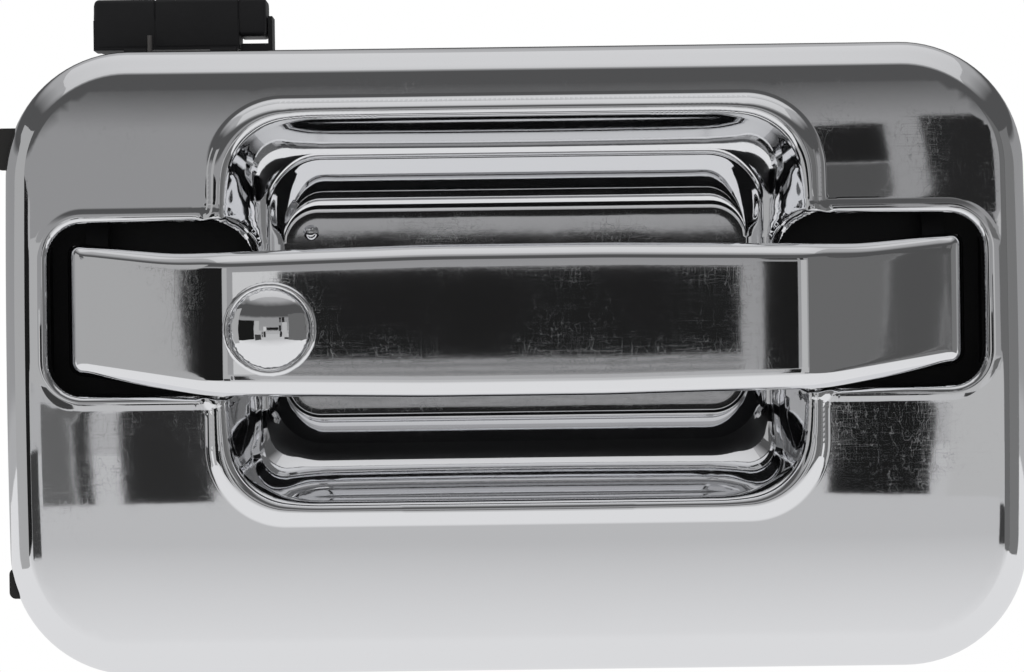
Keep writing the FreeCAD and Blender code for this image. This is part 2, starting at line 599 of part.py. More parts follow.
def make_hinge():
    left = f"(-{END_EAR_OUT} - 2.5)"
    shaft = rod("hinge_shaft", "X", (left, "pivot_depth", PIVOT_Z), PIN_R, f"{END_EAR_OUT} - {left}")
    head = rod("hinge_head", "X", (END_EAR_OUT, "pivot_depth", PIVOT_Z), f"{PIN_R} + 1.5", "1.5")
    groove = ring("hinge_groove", "X", (f"-{END_EAR_OUT} - 1", "pivot_depth", PIVOT_Z), f"{PIN_R} - 0.6",
                  f"{PIN_R} + 1", "1")
    node("hinge_pin", cut("hinge_pin_body", fuse("hinge_pin_blank", shaft, head), groove))
    node("hinge_pin_clip", clip("hinge_clip", f"-{END_EAR_OUT} - 1", "pivot_depth", PIVOT_Z,
                                f"{PIN_R} - 0.6", f"{PIN_R} + 2.5", "1"))
    for mark, x in (("left", f"-{ARM_OUT} - 0.3"), ("right", f"{ARM_IN} - 0.3")):
        node(f"pivot_bush_{mark}", ring(f"bush_{mark}", "X", (x, "pivot_depth", PIVOT_Z),
                                        f"{PIN_R} + run_fit", BUSH_R, "arm_thick + 0.6"))


def clip(name, x, y, z, inner, outer, thick):
    """A snap ring with an open side below."""
    disc = ring(name + "_disc", "X", (x, y, z), inner, outer, thick)
    mouth = block(name + "_mouth", (x, f"{y} - ({inner})*0.9", f"{z} - ({outer}) - 1"),
                  (f"({x}) + {thick}", f"{y} + ({inner})*0.9", z))
    return cut(name, disc, mouth)


def arm_points(tail):
    """Side view of a pull arm: foot on the strap, gooseneck, eye; the tail carries the peg."""
    seat = "(-strap_seat)"
    points = [(seat, "tip_low + 5"), ("2", "tip_low + 5"), (ARM_BACK, "tip_low + 9"),
              (ARM_BACK, f"{PIVOT_Z} - 2")]
    if tail:
        points += [(f"{PEG_Y} + 1", f"{PEG_Z} - 3"), (f"{PEG_Y} + 3", PEG_Z), (PEG_Y, f"{PEG_Z} + 3"),
                   (f"{PEG_Y} - 5", f"{PEG_Z} + 1"), ("pivot_depth", f"{PIVOT_Z} + 4.5")]
    else:
        points += [("pivot_depth + 2", f"{PIVOT_Z} + 3")]
    points += [(f"pivot_depth - {EYE_R} + 1", PIVOT_Z), ("3.5", "well_high + 1.3"), ("1", "well_high - 5.7"),
               (seat, "tip_top - 4.5")]
    return points


def make_arm(mark, sign):
    x0 = ARM_IN if sign > 0 else f"-{ARM_OUT}"
    side_view = outline(f"arm_outline_{mark}", arm_points(sign < 0), "YZ", x0)
    web = extrude(f"arm_web_{mark}", side_view, "arm_thick")
    eye = rod(f"arm_eye_{mark}", "X", (x0, "pivot_depth", PIVOT_Z), EYE_R, "arm_thick")
    bore = rod(f"arm_bore_{mark}", "X", (x0, "pivot_depth", PIVOT_Z), BUSH_R, "arm_thick")
    a, b = (f"{ARM_IN} - 7", ARM_OUT) if sign > 0 else (f"-{ARM_OUT}", f"-{ARM_IN} + 7")
    foot = block(f"arm_foot_{mark}", (a, "-strap_seat", "tip_low + 5"),
                 (b, "-strap_seat + 3", "tip_top - 4.5"))
    pieces = [web, eye, foot]
    if sign < 0:
        pieces.append(rod("arm_peg", "X", (f"-{ARM_IN}", PEG_Y, PEG_Z), "peg_dia/2",
                          f"{ARM_IN} - {CRANK_LEFT} + 6"))
    x = f"{'' if sign > 0 else '-'}{ARM_SCREW_X}"
    hole = rod(f"arm_hole_{mark}", "Y", (x, "-strap_seat", "arm_screw_height"), "screw_dia/2", "3")
    node(f"grip_arm_{mark}", cut(f"arm_{mark}", fuse(f"arm_body_{mark}", *pieces), bore, hole))
    shank = rod(f"arm_shank_{mark}", "Y", (x, "-strap_seat - 5", "arm_screw_height"), "screw_dia/2", "8")
    head = rod(f"arm_head_{mark}", "Y", (x, "-strap_seat + 3", "arm_screw_height"), "screw_dia*0.9", "2")
    return fuse(f"arm_screw_{mark}", shank, head)


def make_arms():
    group = doc.addObject("Part::Compound", "grip_arm_screws")
    group.Links = [make_arm("left", -1), make_arm("right", 1)]
    node("grip_arm_screws", group)


# ---- pull strap --------------------------------------------------------------

def strap_plan(name, low, high):
    """The strap seen from above: bowed middle, sloping ends, flat seats behind."""
    bend = "(strap_flat/2)"
    bend_y = "(-strap_reach + strap_bow)"
    back = "(-strap_reach + strap_thick)"
    seat_x = f"({STRAP_SIDE} - seat_length)"
    bow = f"({bend}*{bend} + strap_bow*strap_bow)/(2*strap_bow)"
    points = [(f"-{bend}", bend_y, bow), (bend, bend_y), (STRAP_SIDE, "-strap_tip"),
              (STRAP_SIDE, "-strap_seat"), (seat_x, "-strap_seat"), (bend, back), (f"-{bend}", back),
              (f"-{seat_x}", "-strap_seat"), (f"-{STRAP_SIDE}", "-strap_seat"),
              (f"-{STRAP_SIDE}", "-strap_tip")]
    return extrude(name, outline(name + "_outline", points, "XY", low), f"({high}) - ({low})")


def strap_front(name):
    """The strap seen from the front: deeper in the middle than at its ends."""
    bend = "(strap_flat/2)"
    points = [(f"-{STRAP_SIDE}", "tip_low"), (f"-{bend}", "strap_low + 0.6"), ("-20", "strap_low"),
              ("20", "strap_low"), (bend, "strap_low + 0.6"), (STRAP_SIDE, "tip_low"),
              (STRAP_SIDE, "tip_top"), (bend, "strap_top - 0.6"), ("20", "strap_top"),
              ("-20", "strap_top"), (f"-{bend}", "strap_top - 0.6"), (f"-{STRAP_SIDE}", "tip_top")]
    return extrude(name, outline(name + "_outline", points, "XZ", "5"), "strap_reach + 10")


LOCK_SEAT = "(-strap_reach + strap_bow)"
LOCK_BACK = f"({LOCK_SEAT} + strap_wall + 0.8)"


def make_strap():
    blank = common("strap_blank", strap_plan("strap_plan", "0", "60"), strap_front("strap_front"))
    edge = "(strap_flat/2 - 0.6)"
    floor = "(-strap_reach + strap_bow + strap_wall)"
    back = "(-strap_reach + strap_thick)"
    cavity = block("strap_cavity", (f"-{edge}", floor, "strap_low + liner_margin"),
                   (edge, back, "strap_top - liner_margin"))
    centre = ("-lock_side", f"{LOCK_SEAT} - 6", "lock_height")
    seat = rod("lock_seat", "Y", centre, f"{RING_R} + 0.1", "6")
    hole = rod("lock_hole", "Y", centre, f"{RING_R} - 1.2", "6 + strap_wall")
    screw_holes = []
    for mark, sign in (("left", "-"), ("right", "")):
        start = (f"{sign}{ARM_SCREW_X}", "-strap_seat - screw_bite", "arm_screw_height")
        screw_holes.append(rod(f"strap_hole_{mark}", "Y", start, "screw_dia/2", "screw_bite"))
    room = rod("retainer_room", "Y", ("-lock_side", LOCK_BACK, "lock_height"), f"{RING_R} + 0.2", "2")
    node("grip_shell", cut("grip_shell_body", blank, cavity, seat, hole, room, *screw_holes))
    liner = block("grip_liner_body", (f"-{edge}", f"{back} - liner_thick", "strap_low + liner_margin"),
                  (edge, back, "strap_top - liner_margin"))
    node("grip_liner", liner)


def make_lock():
    front = f"({LOCK_SEAT} - ring_proud)"
    lip = "(cap_radius + cap_gap)"
    sleeve = "(cap_radius - 0.6)"
    ledge = f"({LOCK_SEAT} - 0.4)"
    ring_points = [(sleeve, LOCK_BACK), (sleeve, ledge), (lip, ledge), (lip, front),
                   (f"{RING_R} - 0.5", front), (RING_R, f"{front} + 0.5"), (RING_R, LOCK_SEAT),
                   (f"{RING_R} - 1.2", LOCK_SEAT), (f"{RING_R} - 1.2", LOCK_BACK)]
    node("lock_ring", revolve_y("lock_ring_body", ring_points, "-lock_side", "lock_height"))
    rim_y = f"({front} + 0.2)"
    dome = "(cap_radius*cap_radius + cap_dome*cap_dome)/(2*cap_dome)"
    cap_points = [("0", f"{rim_y} - cap_dome", dome), ("cap_radius", rim_y), ("cap_radius", ledge),
                  (f"{sleeve} - cap_gap", ledge), (f"{sleeve} - cap_gap", f"{LOCK_BACK} + 0.8"),
                  ("0", f"{LOCK_BACK} + 0.8")]
    node("lock_cap", revolve_y("lock_cap_body", cap_points, "-lock_side", "lock_height"))
    node("lock_cap_retainer", ring("retainer", "Y", ("-lock_side", LOCK_BACK, "lock_height"),
                                   f"{sleeve} - cap_gap", RING_R, "0.8"))


# ---- bellcrank ---------------------------------------------------------------

def crank_arm(name, x0, x1):
    """One upright arm from the hub to the counterweight."""
    points = [(f"crank_depth - {HUB_R} + 0.5", CRANK_Z), (f"crank_depth + {HUB_R} - 0.5", CRANK_Z),
              ("weight_depth + 3", "weight_height"), ("weight_depth - 3", "weight_height")]
    return extrude(name, outline(name + "_outline", points, "YZ", x0), f"({x1}) - ({x0})")


def make_bellcrank():
    left, right = f"(-{CRANK_LEFT})", f"(-{CRANK_RIGHT})"
    hub = rod("crank_hub", "X", (left, "crank_depth", CRANK_Z), HUB_R, "crank_length")
    arms = [crank_arm("crank_arm_a", left, f"{left} + 5"), crank_arm("crank_arm_b", f"{right} - 6", right)]
    web = block("crank_web", (f"-{WEIGHT_LEFT}", "weight_depth - 5.7", f"{CRANK_Z} + 7.6"),
                (f"{right} + 0.7", "weight_depth + 1.8", "weight_height"))
    boss = rod("weight_boss", "X", (f"-{WEIGHT_LEFT}", "weight_depth", "weight_height"), "weight_dia/2",
               "weight_split")
    lobe_points = [(f"crank_depth - 3", f"{LOBE_TOP} + 0.5"), (f"crank_depth + 2", f"{LOBE_TOP} + 0.5"),
                   (f"crank_depth + {HUB_R} + 1.5", LOBE_TOP), (f"{ROD_Y} + 4", LOBE_TOP),
                   (f"{ROD_Y} + 4", f"{ROD_Z} - 4"), (f"{ROD_Y} - 4", f"{ROD_Z} - 4.5"),
                   ("crank_depth + 3", f"{LOBE_TOP} - 6"), (f"crank_depth - 3", f"{LOBE_TOP} - 3")]
    lobe_sketch = outline("crank_lobe_outline", list(reversed(lobe_points)), "YZ", left)
    lobe = extrude("crank_lobe", lobe_sketch, "5")
    blank = fuse("crank_blank", hub, *arms, web, boss, lobe)
    bore = rod("crank_bore", "X", (left, "crank_depth", CRANK_Z), f"{CRANK_PIN_R} + run_fit", "crank_length")
    rod_hole = rod("crank_rod_hole", "X", (left, ROD_Y, ROD_Z), "2.5 + run_fit", "5")
    split = f"(-{WEIGHT_LEFT} + weight_split)"
    weight_start = (split, "weight_depth", "weight_height")
    weight_bed = rod("weight_bed", "X", weight_start, "weight_dia/2", "weight_length")
    spigot_hole = rod("spigot_hole", "X", (f"{split} - 6", "weight_depth", "weight_height"), "2.5", "6")
    node("bellcrank", cut("bellcrank_body", blank, bore, rod_hole, weight_bed, spigot_hole))
    weight = rod("weight_bar", "X", weight_start, "weight_dia/2", "weight_length - weight_split")
    spigot = rod("weight_spigot", "X", (f"{split} - 6", "weight_depth", "weight_height"), "2.5", "6")
    node("counterweight", fuse("counterweight_body", weight, spigot))


def make_crank_pin():
    left = f"(-{EAR_OUT})"
    shaft = rod("crank_shaft", "X", (left, "crank_depth", CRANK_Z), CRANK_PIN_R,
                f"{STAND_OUT} - {left} + 1.6")
    groove = ring("crank_groove", "X", (STAND_OUT, "crank_depth", CRANK_Z), f"{CRANK_PIN_R} - 0.5",
                  f"{CRANK_PIN_R} + 1", "0.8")
    node("bellcrank_pin", cut("crank_pin_body", shaft, groove))
    node("bellcrank_pin_clip", clip("crank_clip", STAND_OUT, "crank_depth", CRANK_Z, f"{CRANK_PIN_R} - 0.5",
                                    f"{CRANK_PIN_R} + 2", "0.8"))


def make_rod_clip():
    """The plastic clip that snaps into the bellcrank and holds the latch rod."""
    left = f"(-{CRANK_LEFT})"
    side = f"({left} + 5.3)"
    trunnion = rod("clip_trunnion", "X", (f"{left} - 0.3", ROD_Y, ROD_Z), "2.5", "6")
    collar = rod("clip_collar", "X", (side, ROD_Y, ROD_Z), "4.5", "2.5")
    body = block("clip_body", (f"{side} + 2", f"{ROD_Y} - 4.5", f"{ROD_Z} - 13"),
                 (f"{side} + 11", f"{ROD_Y} + 4.5", f"{ROD_Z} + 4.5"))
    bore = rod("clip_bore", "Z", (f"{side} + 6.5", ROD_Y, f"{ROD_Z} - 13"), "2.5", "17.5")
    node("rod_clip", cut("rod_clip_body", fuse("clip_blank", trunnion, collar, body), bore))


# ---- springs -----------------------------------------------------------------

def make_springs():
    """Each torsion spring as the sleeve its coils fill, with two legs a little thinner than the sleeve."""
    half = "(wire_dia/2)"
    leg = "(wire_dia*0.42)"
    mean = f"(plate_depth - pivot_depth - {half})"
    start = f"({EAR_IN} - 4 - grip_coil)"
    end = f"({start} + grip_coil - wire_dia)"
    coil = ring("grip_coil_sleeve", "X", (start, "pivot_depth", PIVOT_Z), f"{mean} - {half}",
                f"{mean} + {half}", "grip_coil")
    rest_foot = (f"{start} + {half}", f"pivot_depth + {mean}", f"{PIVOT_Z} - 12")
    rest = rod("grip_leg_rest", "Z", rest_foot, leg, "12")
    foot = f"(pivot_depth - {EYE_R} + 3.2)"
    slope = [(f"pivot_depth - {mean} - {leg}", PIVOT_Z), (f"{foot} - {leg}", f"{PIVOT_Z} - 15.5"),
             (f"{foot} + {leg}", f"{PIVOT_Z} - 15.5"), (f"pivot_depth - {mean} + {leg}", PIVOT_Z)]
    press = extrude("grip_leg_press", outline("grip_leg_outline", slope, "YZ", f"{end} + wire_dia*0.1"),
                    "wire_dia*0.8")
    hook = rod("grip_leg_hook", "X", (f"{end} + {half}", foot, f"{PIVOT_Z} - 15"), "wire_dia*0.4",
               f"{ARM_OUT} - {end} - 1.5")
    node("grip_spring", fuse("grip_spring_body", coil, rest, press, hook))
    crank_in = f"({HUB_R} + 0.3)"
    crank_mean = f"({crank_in} + {half})"
    left = f"(-{CRANK_LEFT} + 6)"
    sleeve = ring("crank_coil_sleeve", "X", (left, "crank_depth", CRANK_Z), crank_in,
                  f"{crank_in} + wire_dia", "crank_coil")
    up = rod("crank_leg_up", "Z", (f"{left} + {half}", f"crank_depth - {crank_mean}", CRANK_Z), leg, "7.5")
    down = rod("crank_leg_down", "Z", (f"{left} + crank_coil - {half}", f"crank_depth - {crank_mean}",
                                       f"{CRANK_Z} - 10"), leg, "10")
    node("bellcrank_spring", fuse("crank_spring_body", sleeve, up, down))


make_bezel()
make_gasket()
make_housing()
make_bumpers()
make_fixings()
make_hinge()
make_arms()
make_strap()
make_lock()
make_bellcrank()
make_crank_pin()
make_rod_clip()
make_springs()

doc.recompute()
for item in doc.Objects:
    if "Invalid" in item.State or "Error" in item.State:
        raise RuntimeError(f"{item.Label} failed: {item.State}")
for name, item in NODES.items():
    shape = item.Shape
    if shape.isNull() or not shape.isValid():
        raise RuntimeError(f"{name} has no valid shape")

os.makedirs("parts", exist_ok=True)
for name, item in NODES.items():
    item.Shape.exportStep(f"parts/{name}.step")
    solids = len(item.Shape.Solids)
    print(f"{name}: {solids} solid(s), {item.Shape.Volume:.1f} mm3")
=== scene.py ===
# %% [markdown]
# # A chromed door handle
# The working model brings every part at its real place and size. This lesson gives it its looks.
# The big chromed pieces are rebuilt as fine smooth meshes, because a mirror finish shows every flat facet.
# The hidden plastic, rubber and steel pieces keep their shape and only get a finish.

# %% Load the working model
import math

import bmesh
import bpy
import numpy as np
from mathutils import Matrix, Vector, geometry


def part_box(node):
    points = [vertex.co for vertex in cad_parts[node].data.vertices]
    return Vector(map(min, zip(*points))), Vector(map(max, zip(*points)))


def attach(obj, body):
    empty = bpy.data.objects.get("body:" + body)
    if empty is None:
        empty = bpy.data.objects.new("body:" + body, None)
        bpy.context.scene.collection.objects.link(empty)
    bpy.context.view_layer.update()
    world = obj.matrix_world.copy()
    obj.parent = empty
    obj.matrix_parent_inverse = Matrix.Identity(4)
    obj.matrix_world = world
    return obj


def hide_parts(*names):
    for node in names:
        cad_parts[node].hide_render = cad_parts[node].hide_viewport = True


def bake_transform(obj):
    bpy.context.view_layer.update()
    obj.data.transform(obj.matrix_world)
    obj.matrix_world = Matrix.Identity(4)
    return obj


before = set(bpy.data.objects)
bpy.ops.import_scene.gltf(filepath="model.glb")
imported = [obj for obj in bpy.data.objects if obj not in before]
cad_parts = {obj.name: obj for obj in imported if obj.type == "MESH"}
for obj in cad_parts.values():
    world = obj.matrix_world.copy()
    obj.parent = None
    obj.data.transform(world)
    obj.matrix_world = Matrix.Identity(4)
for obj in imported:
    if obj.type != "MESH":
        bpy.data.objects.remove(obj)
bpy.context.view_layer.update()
MM = 0.001


# %% [markdown]
# ## Sizes
# All places come from the boxes of the working parts, so nothing has to be fitted by eye.
# Lengths are in millimetres here, and only the last step of making a mesh turns them into metres.

# %% Read the places of the main parts
def box(node):
    """Lowest and highest corner of a working part, in millimetres."""
    low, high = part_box(node)
    return np.array(low) / MM, np.array(high) / MM


COVER_LOW, COVER_HIGH = box("bezel")
STRAP_LOW, STRAP_HIGH = box("grip_shell")
RING_LOW, RING_HIGH = box("lock_ring")
PIN_LOW, PIN_HIGH = box("hinge_pin")
COVER_MID = (COVER_LOW + COVER_HIGH) / 2
PIVOT = ((PIN_LOW + PIN_HIGH) / 2)[1:]
LOCK = (RING_LOW + RING_HIGH) / 2
print("cover", COVER_LOW, COVER_HIGH, "strap", STRAP_LOW, STRAP_HIGH, "hinge", PIVOT)


# %% [markdown]
# ## Turning points into meshes
# Nearly every smooth piece here is a stack of closed loops with the same number of points.
# Faces between neighbouring loops make a skin. It could also be modelled by hand with loop cuts,
# but loops from a formula stay even, and an even mesh is what keeps reflections calm.

# %% Mesh helpers
def mesh_piece(name, points, faces, sharp=40):
    """Make an object from points in millimetres, smooth except over edges sharper than an angle."""
    mesh = bpy.data.meshes.new(name)
    mesh.from_pydata([tuple(p) for p in np.asarray(points) * MM], [], [tuple(f) for f in faces])
    mesh.validate()
    mesh.shade_smooth()
    mesh.set_sharp_from_angle(angle=math.radians(sharp))
    piece = bpy.data.objects.new(name, mesh)
    bpy.context.collection.objects.link(piece)
    print(f"{name}: {len(mesh.vertices)} points, {len(mesh.polygons)} faces")
    return piece


def skin(loops, start=0):
    """Faces between loops of equal length, numbered from start."""
    count = len(loops[0])
    faces = []
    for row in range(len(loops) - 1):
        a, b = start + row * count, start + (row + 1) * count
        for i in range(count):
            j = (i + 1) % count
            faces.append((a + i, a + j, b + j, b + i))
    return faces


def capped(name, loops, sharp=40):
    """A closed piece: a skin of loops with a flat cap at each end."""
    count = len(loops[0])
    last = count * (len(loops) - 1)
    faces = skin(loops)
    faces.append(tuple(reversed(range(count))))
    faces.append(tuple(range(last, last + count)))
    return mesh_piece(name, np.vstack(loops), faces, sharp)


def weld(piece, reach=0.0004):
    """Join points that lie closer together than the reach, in millimetres."""
    work = bmesh.new()
    work.from_mesh(piece.data)
    bmesh.ops.remove_doubles(work, verts=work.verts, dist=reach * MM)
    work.to_mesh(piece.data)
    work.free()
    return piece


# %% [markdown]
# ## The outlines of the cover
# The cover, its scoop and its two end wells are all rectangles with round corners.
# One function draws such a rectangle, and its twin measures how far a point is from it.
# That distance is the trick behind the whole cover: the height of the metal is a curve over the distance.

# %% Rectangles with round corners
def counts_of(shape, step):
    """How many points go along, up and round a corner of a rectangle at a given spacing."""
    left, right, low, high, radius = shape
    return (max(4, int((right - left - 2 * radius) / step)), max(4, int((high - low - 2 * radius) / step)),
            max(8, int(radius * math.pi / 2 / step)))


def round_rectangle(shape, step=1.2, counts=None):
    """Points round a rectangle (left, right, low, high, radius), the same number for the same counts."""
    left, right, low, high, radius = shape
    along, up, turn = counts or counts_of(shape, step)
    corners = [(right - radius, low + radius, -90), (right - radius, high - radius, 0),
               (left + radius, high - radius, 90), (left + radius, low + radius, 180)]
    points = []
    for k, (x, z, angle) in enumerate(corners):
        for i in range(turn + 1):
            a = math.radians(angle + 90 * i / turn)
            points.append((x + radius * math.cos(a), z + radius * math.sin(a)))
        nx, nz, nangle = corners[(k + 1) % 4]
        a = math.radians(nangle)
        end = (nx + radius * math.cos(a), nz + radius * math.sin(a))
        first = points[-1]
        side = up if k % 2 == 0 else along
        for i in range(1, side):
            points.append(tuple(first[c] + (end[c] - first[c]) * i / side for c in range(2)))
    return np.array(points)


def distance(x, z, shape):
    """Distance from a round-cornered rectangle, negative inside."""
    left, right, low, high, radius = shape
    qx = np.abs(x - (left + right) / 2) - ((right - left) / 2 - radius)
    qz = np.abs(z - (low + high) / 2) - ((high - low) / 2 - radius)
    outside = np.hypot(np.maximum(qx, 0), np.maximum(qz, 0))
    return outside + np.minimum(np.maximum(qx, qz), 0) - radius


def between(a, b, share):
    """A shape part of the way from one shape to another."""
    return tuple(p + (q - p) * share for p, q in zip(a, b))


def grown(shape, by):
    left, right, low, high, radius = shape
    return (left - by, right + by, low - by, high + by, max(radius + by, 0.4))


COVER = (COVER_LOW[0], COVER_HIGH[0], COVER_LOW[2], COVER_HIGH[2], 28)
RIM = (-69, 69, -19, 76, 17)
STEP = (-56, 56, -5, 63.5, 12)
LEDGE = (-55.8, 55.8, -1.7, 63.1, 12)
FLOOR = (-53.8, 53.8, 4, 52.3, 8)
WELLS = [(-105.3, -60, 10, 48.7, 8), (60, 105.3, 10, 48.7, 8)]


# %% [markdown]
# ## The height of the metal
# The face bulges gently both ways, like a pillow. Round the scoop runs a rolled rim, then a hollow wall.
# I draw that section as straight strokes and then average it over a short length.
# The averaging rounds every corner by the same small radius, as polishing and plating do.

# %% Sections of the cover
def rounded_curve(strokes, width):
    """A function through strokes (distance, height) whose corners are averaged over a width."""
    fine = np.arange(strokes[0][0] - 4, strokes[-1][0] + 4, 0.05)
    raw = np.interp(fine, [s[0] for s in strokes], [s[1] for s in strokes])
    size = max(1, int(width / 0.05))
    kernel = np.ones(size) / size
    padded = np.pad(raw, size, mode="edge")
    smooth = np.convolve(np.convolve(padded, kernel, "same"), kernel, "same")[size:-size]
    return lambda t: np.interp(t, fine, smooth)


CROWN_TALL = 420
CROWN_WIDE = 2600
FACE_FRONT = -13
RIM_WIDTH = 13
rim_section = rounded_curve([(0, 0), (0.5, -0.75), (1.4, -1.2), (2.7, -1.2), (3.8, -0.3), (4.6, 1.2),
                             (6.2, 4.6), (8.6, 8.8), (11.2, 12.2), (13, 13.9)], 0.7)
lip_section = rounded_curve([(0, 1.3), (0.35, 0.35), (1.0, -0.12), (2.0, -0.22), (3.2, 0)], 0.45)
LIP_WIDTH = 3.4


def face_height(x, z):
    return FACE_FRONT + (z - COVER_MID[2]) ** 2 / (2 * CROWN_TALL) + x ** 2 / (2 * CROWN_WIDE)


JOIN = 4.7


def joined(first, second):
    """Distance from two outlines together, with the inner corner where they meet filled to a small radius."""
    near = np.maximum(JOIN - np.abs(first - second), 0) / JOIN
    return np.minimum(first, second) - near * near * JOIN / 4


def cover_height(x, z):
    """Front of the cover over the face, the rim and the upper wall of the scoop."""
    from_rim = -joined(distance(x, z, RIM), np.minimum(*[distance(x, z, shape) for shape in WELLS]))
    from_step = distance(x, z, STEP)
    share = from_rim / np.maximum(from_rim + np.maximum(from_step, 0), 1e-6)
    travel = np.where(from_rim > 0, np.clip(share, 0, 1) * RIM_WIDTH, from_rim)
    level = np.clip(travel / RIM_WIDTH, 0, 1)
    height = FACE_FRONT + (face_height(x, z) - FACE_FRONT) * (1 - level) + rim_section(travel)
    for shape in WELLS:
        near = distance(x, z, shape)
        height = height + np.where(near < LIP_WIDTH, lip_section(near), 0)
    return height


for label, x, z in (("middle top", 0, 82), ("rim top", 0, 74), ("side", 112, 17)):
    print(label, round(float(cover_height(np.array(x), np.array(z))), 2))


# %% [markdown]
# ## The cover's face
# The face is a height over a flat drawing, so a triangulated drawing is all it needs.
# Points are laid in loops where the metal curves fast and in a plain grid where it is calm.
# A subdivision surface would round the wells too much, and a plain grid would show steps along the rim.

# %% Points and triangles of the face
EDGE_INSET = 6.5
RIM_RINGS = (-3, -2, -1.2, -0.5, 0, 0.4, 0.8, 1.2, 1.7, 2.2, 2.7, 3.2, 3.7, 4.2, 4.7, 5.3, 6.2, 7.2, 8.4, 9.6,
             10.8, 12)
LIP_RINGS = (0.2, 0.45, 0.75, 1.1, 1.6, 2.2, 3.0, 4.0)


def loose_points():
    """Rings along the rim and the wells, and a calm grid elsewhere."""
    rings = []
    for t in RIM_RINGS:
        shape = between(RIM, STEP, t / RIM_WIDTH) if t > 0 else grown(RIM, -t)
        rings.append(round_rectangle(shape, 1.1))
    for shape in WELLS:
        rings += [round_rectangle(grown(shape, by), 0.9) for by in LIP_RINGS]
    grid = np.stack(np.meshgrid(np.arange(COVER_LOW[0], COVER_HIGH[0], 2.2),
                                np.arange(COVER_LOW[2], COVER_HIGH[2], 2.2)), -1).reshape(-1, 2)
    clear = distance(grid[:, 0], grid[:, 1], RIM) > 4
    for shape in WELLS:
        clear &= distance(grid[:, 0], grid[:, 1], shape) > 5
    return np.vstack(rings + [grid[clear]])


def face_drawing():
    """Flat points and triangles between the cover's edge band, the wells and the step of the scoop."""
    field = grown(COVER, -EDGE_INSET)
    loops = [round_rectangle(field, 1.6), round_rectangle(STEP, 1.1)]
    loops += [round_rectangle(shape, 0.8) for shape in WELLS]
    loose = loose_points()
    keep = distance(loose[:, 0], loose[:, 1], field) < -0.9
    keep &= distance(loose[:, 0], loose[:, 1], STEP) > 0.35
    for shape in WELLS:
        keep &= distance(loose[:, 0], loose[:, 1], shape) > 0.15
    edges = []
    start = 0
    for loop in loops:
        edges += [(start + i, start + (i + 1) % len(loop)) for i in range(len(loop))]
        start += len(loop)
    points = [Vector(p) for p in np.vstack(loops + [loose[keep]])]
    flat, _, faces, *_ = geometry.delaunay_2d_cdt(points, edges, [], 0, 1e-5)
    flat = np.array([tuple(p) for p in flat])
    middles = flat[np.array(faces)].mean(axis=1)
    inside = (distance(*middles.T, field) < 0.01) & (distance(*middles.T, STEP) > -0.01)
    for shape in WELLS:
        inside &= distance(*middles.T, shape) > -0.01
    return flat, [face for face, kept in zip(faces, inside) if kept]


flat, triangles = face_drawing()
front = np.column_stack([flat[:, 0], cover_height(flat[:, 0], flat[:, 1]), flat[:, 1]])
print("face:", len(flat), "points,", len(triangles), "triangles")


# %% [markdown]
# ## Edge band, scoop and wells
# Outside the face the metal turns over a soft crease into a narrow slanted band and then into the side.
# Inside the scoop it steps down twice to a flat floor, and each well has a short skirt.
# All of them are stacks of loops that share their first loop with the face.

# %% Loops of the edge band, the scoop and the wells
REAR = -1.5
BAND = [(5.6, 0.05), (4.9, 0.3), (4.3, 0.68), (3.4, 1.25), (2.4, 1.9), (1.6, 2.5), (1.0, 3.15), (0.5, 3.95),
        (0.18, 4.8), (0.05, 5.6)]
SCOOP = [(0.5, 0.0, 1.5), (1.0, 0.0, 2.2), (1.0, 0.06, 3.4), (1.0, 0.13, 4.9), (1.0, 0.22, 6.8),
         (1.0, 0.34, 9.0), (1.0, 0.48, 11.2), (1.0, 0.62, 13.1), (1.0, 0.75, 14.5), (1.0, 0.86, 15.4),
         (1.0, 0.94, 15.85), (1.0, 1.0, 16.0)]
SKIRT_END = -5


def raised(outline, heights):
    """A flat loop lifted to a height, or to one height per point."""
    return np.column_stack([outline[:, 0], np.broadcast_to(heights, len(outline)), outline[:, 1]])


def edge_loops():
    counts = counts_of(grown(COVER, -EDGE_INSET), 1.6)
    outline = round_rectangle(grown(COVER, -EDGE_INSET), counts=counts)
    loops = [raised(outline, cover_height(*outline.T))]
    for side, fall in BAND:
        outline = round_rectangle(grown(COVER, -side), counts=counts)
        height = face_height(*outline.T)
        room = REAR - 0.5 - height
        loops.append(raised(outline, height + fall * np.minimum(1, room / BAND[-1][1])))
    outline = round_rectangle(COVER, counts=counts)
    loops.append(raised(outline, REAR - 0.3))
    loops.append(raised(round_rectangle(grown(COVER, -0.25), counts=counts), REAR))
    return loops


def scoop_loops():
    counts = counts_of(STEP, 1.1)
    outline = round_rectangle(STEP, counts=counts)
    loops = [raised(outline, cover_height(*outline.T))]
    for to_ledge, to_floor, depth in SCOOP:
        shape = between(between(STEP, LEDGE, to_ledge), FLOOR, to_floor)
        loops.append(raised(round_rectangle(shape, counts=counts), depth))
    for inset in (0.8, 2.5):
        loops.append(raised(round_rectangle(grown(FLOOR, -inset), counts=counts), SCOOP[-1][2] + 0.03))
    return loops


def skirt_loops(shape):
    outline = round_rectangle(shape, 0.8)
    top = cover_height(*outline.T)
    bottom = np.maximum(SKIRT_END, top + 1.2)
    return [raised(outline, top + (bottom - top) * share) for share in (0, 0.12, 0.4, 1)]


# %% Put the cover together
WALL = 1.8


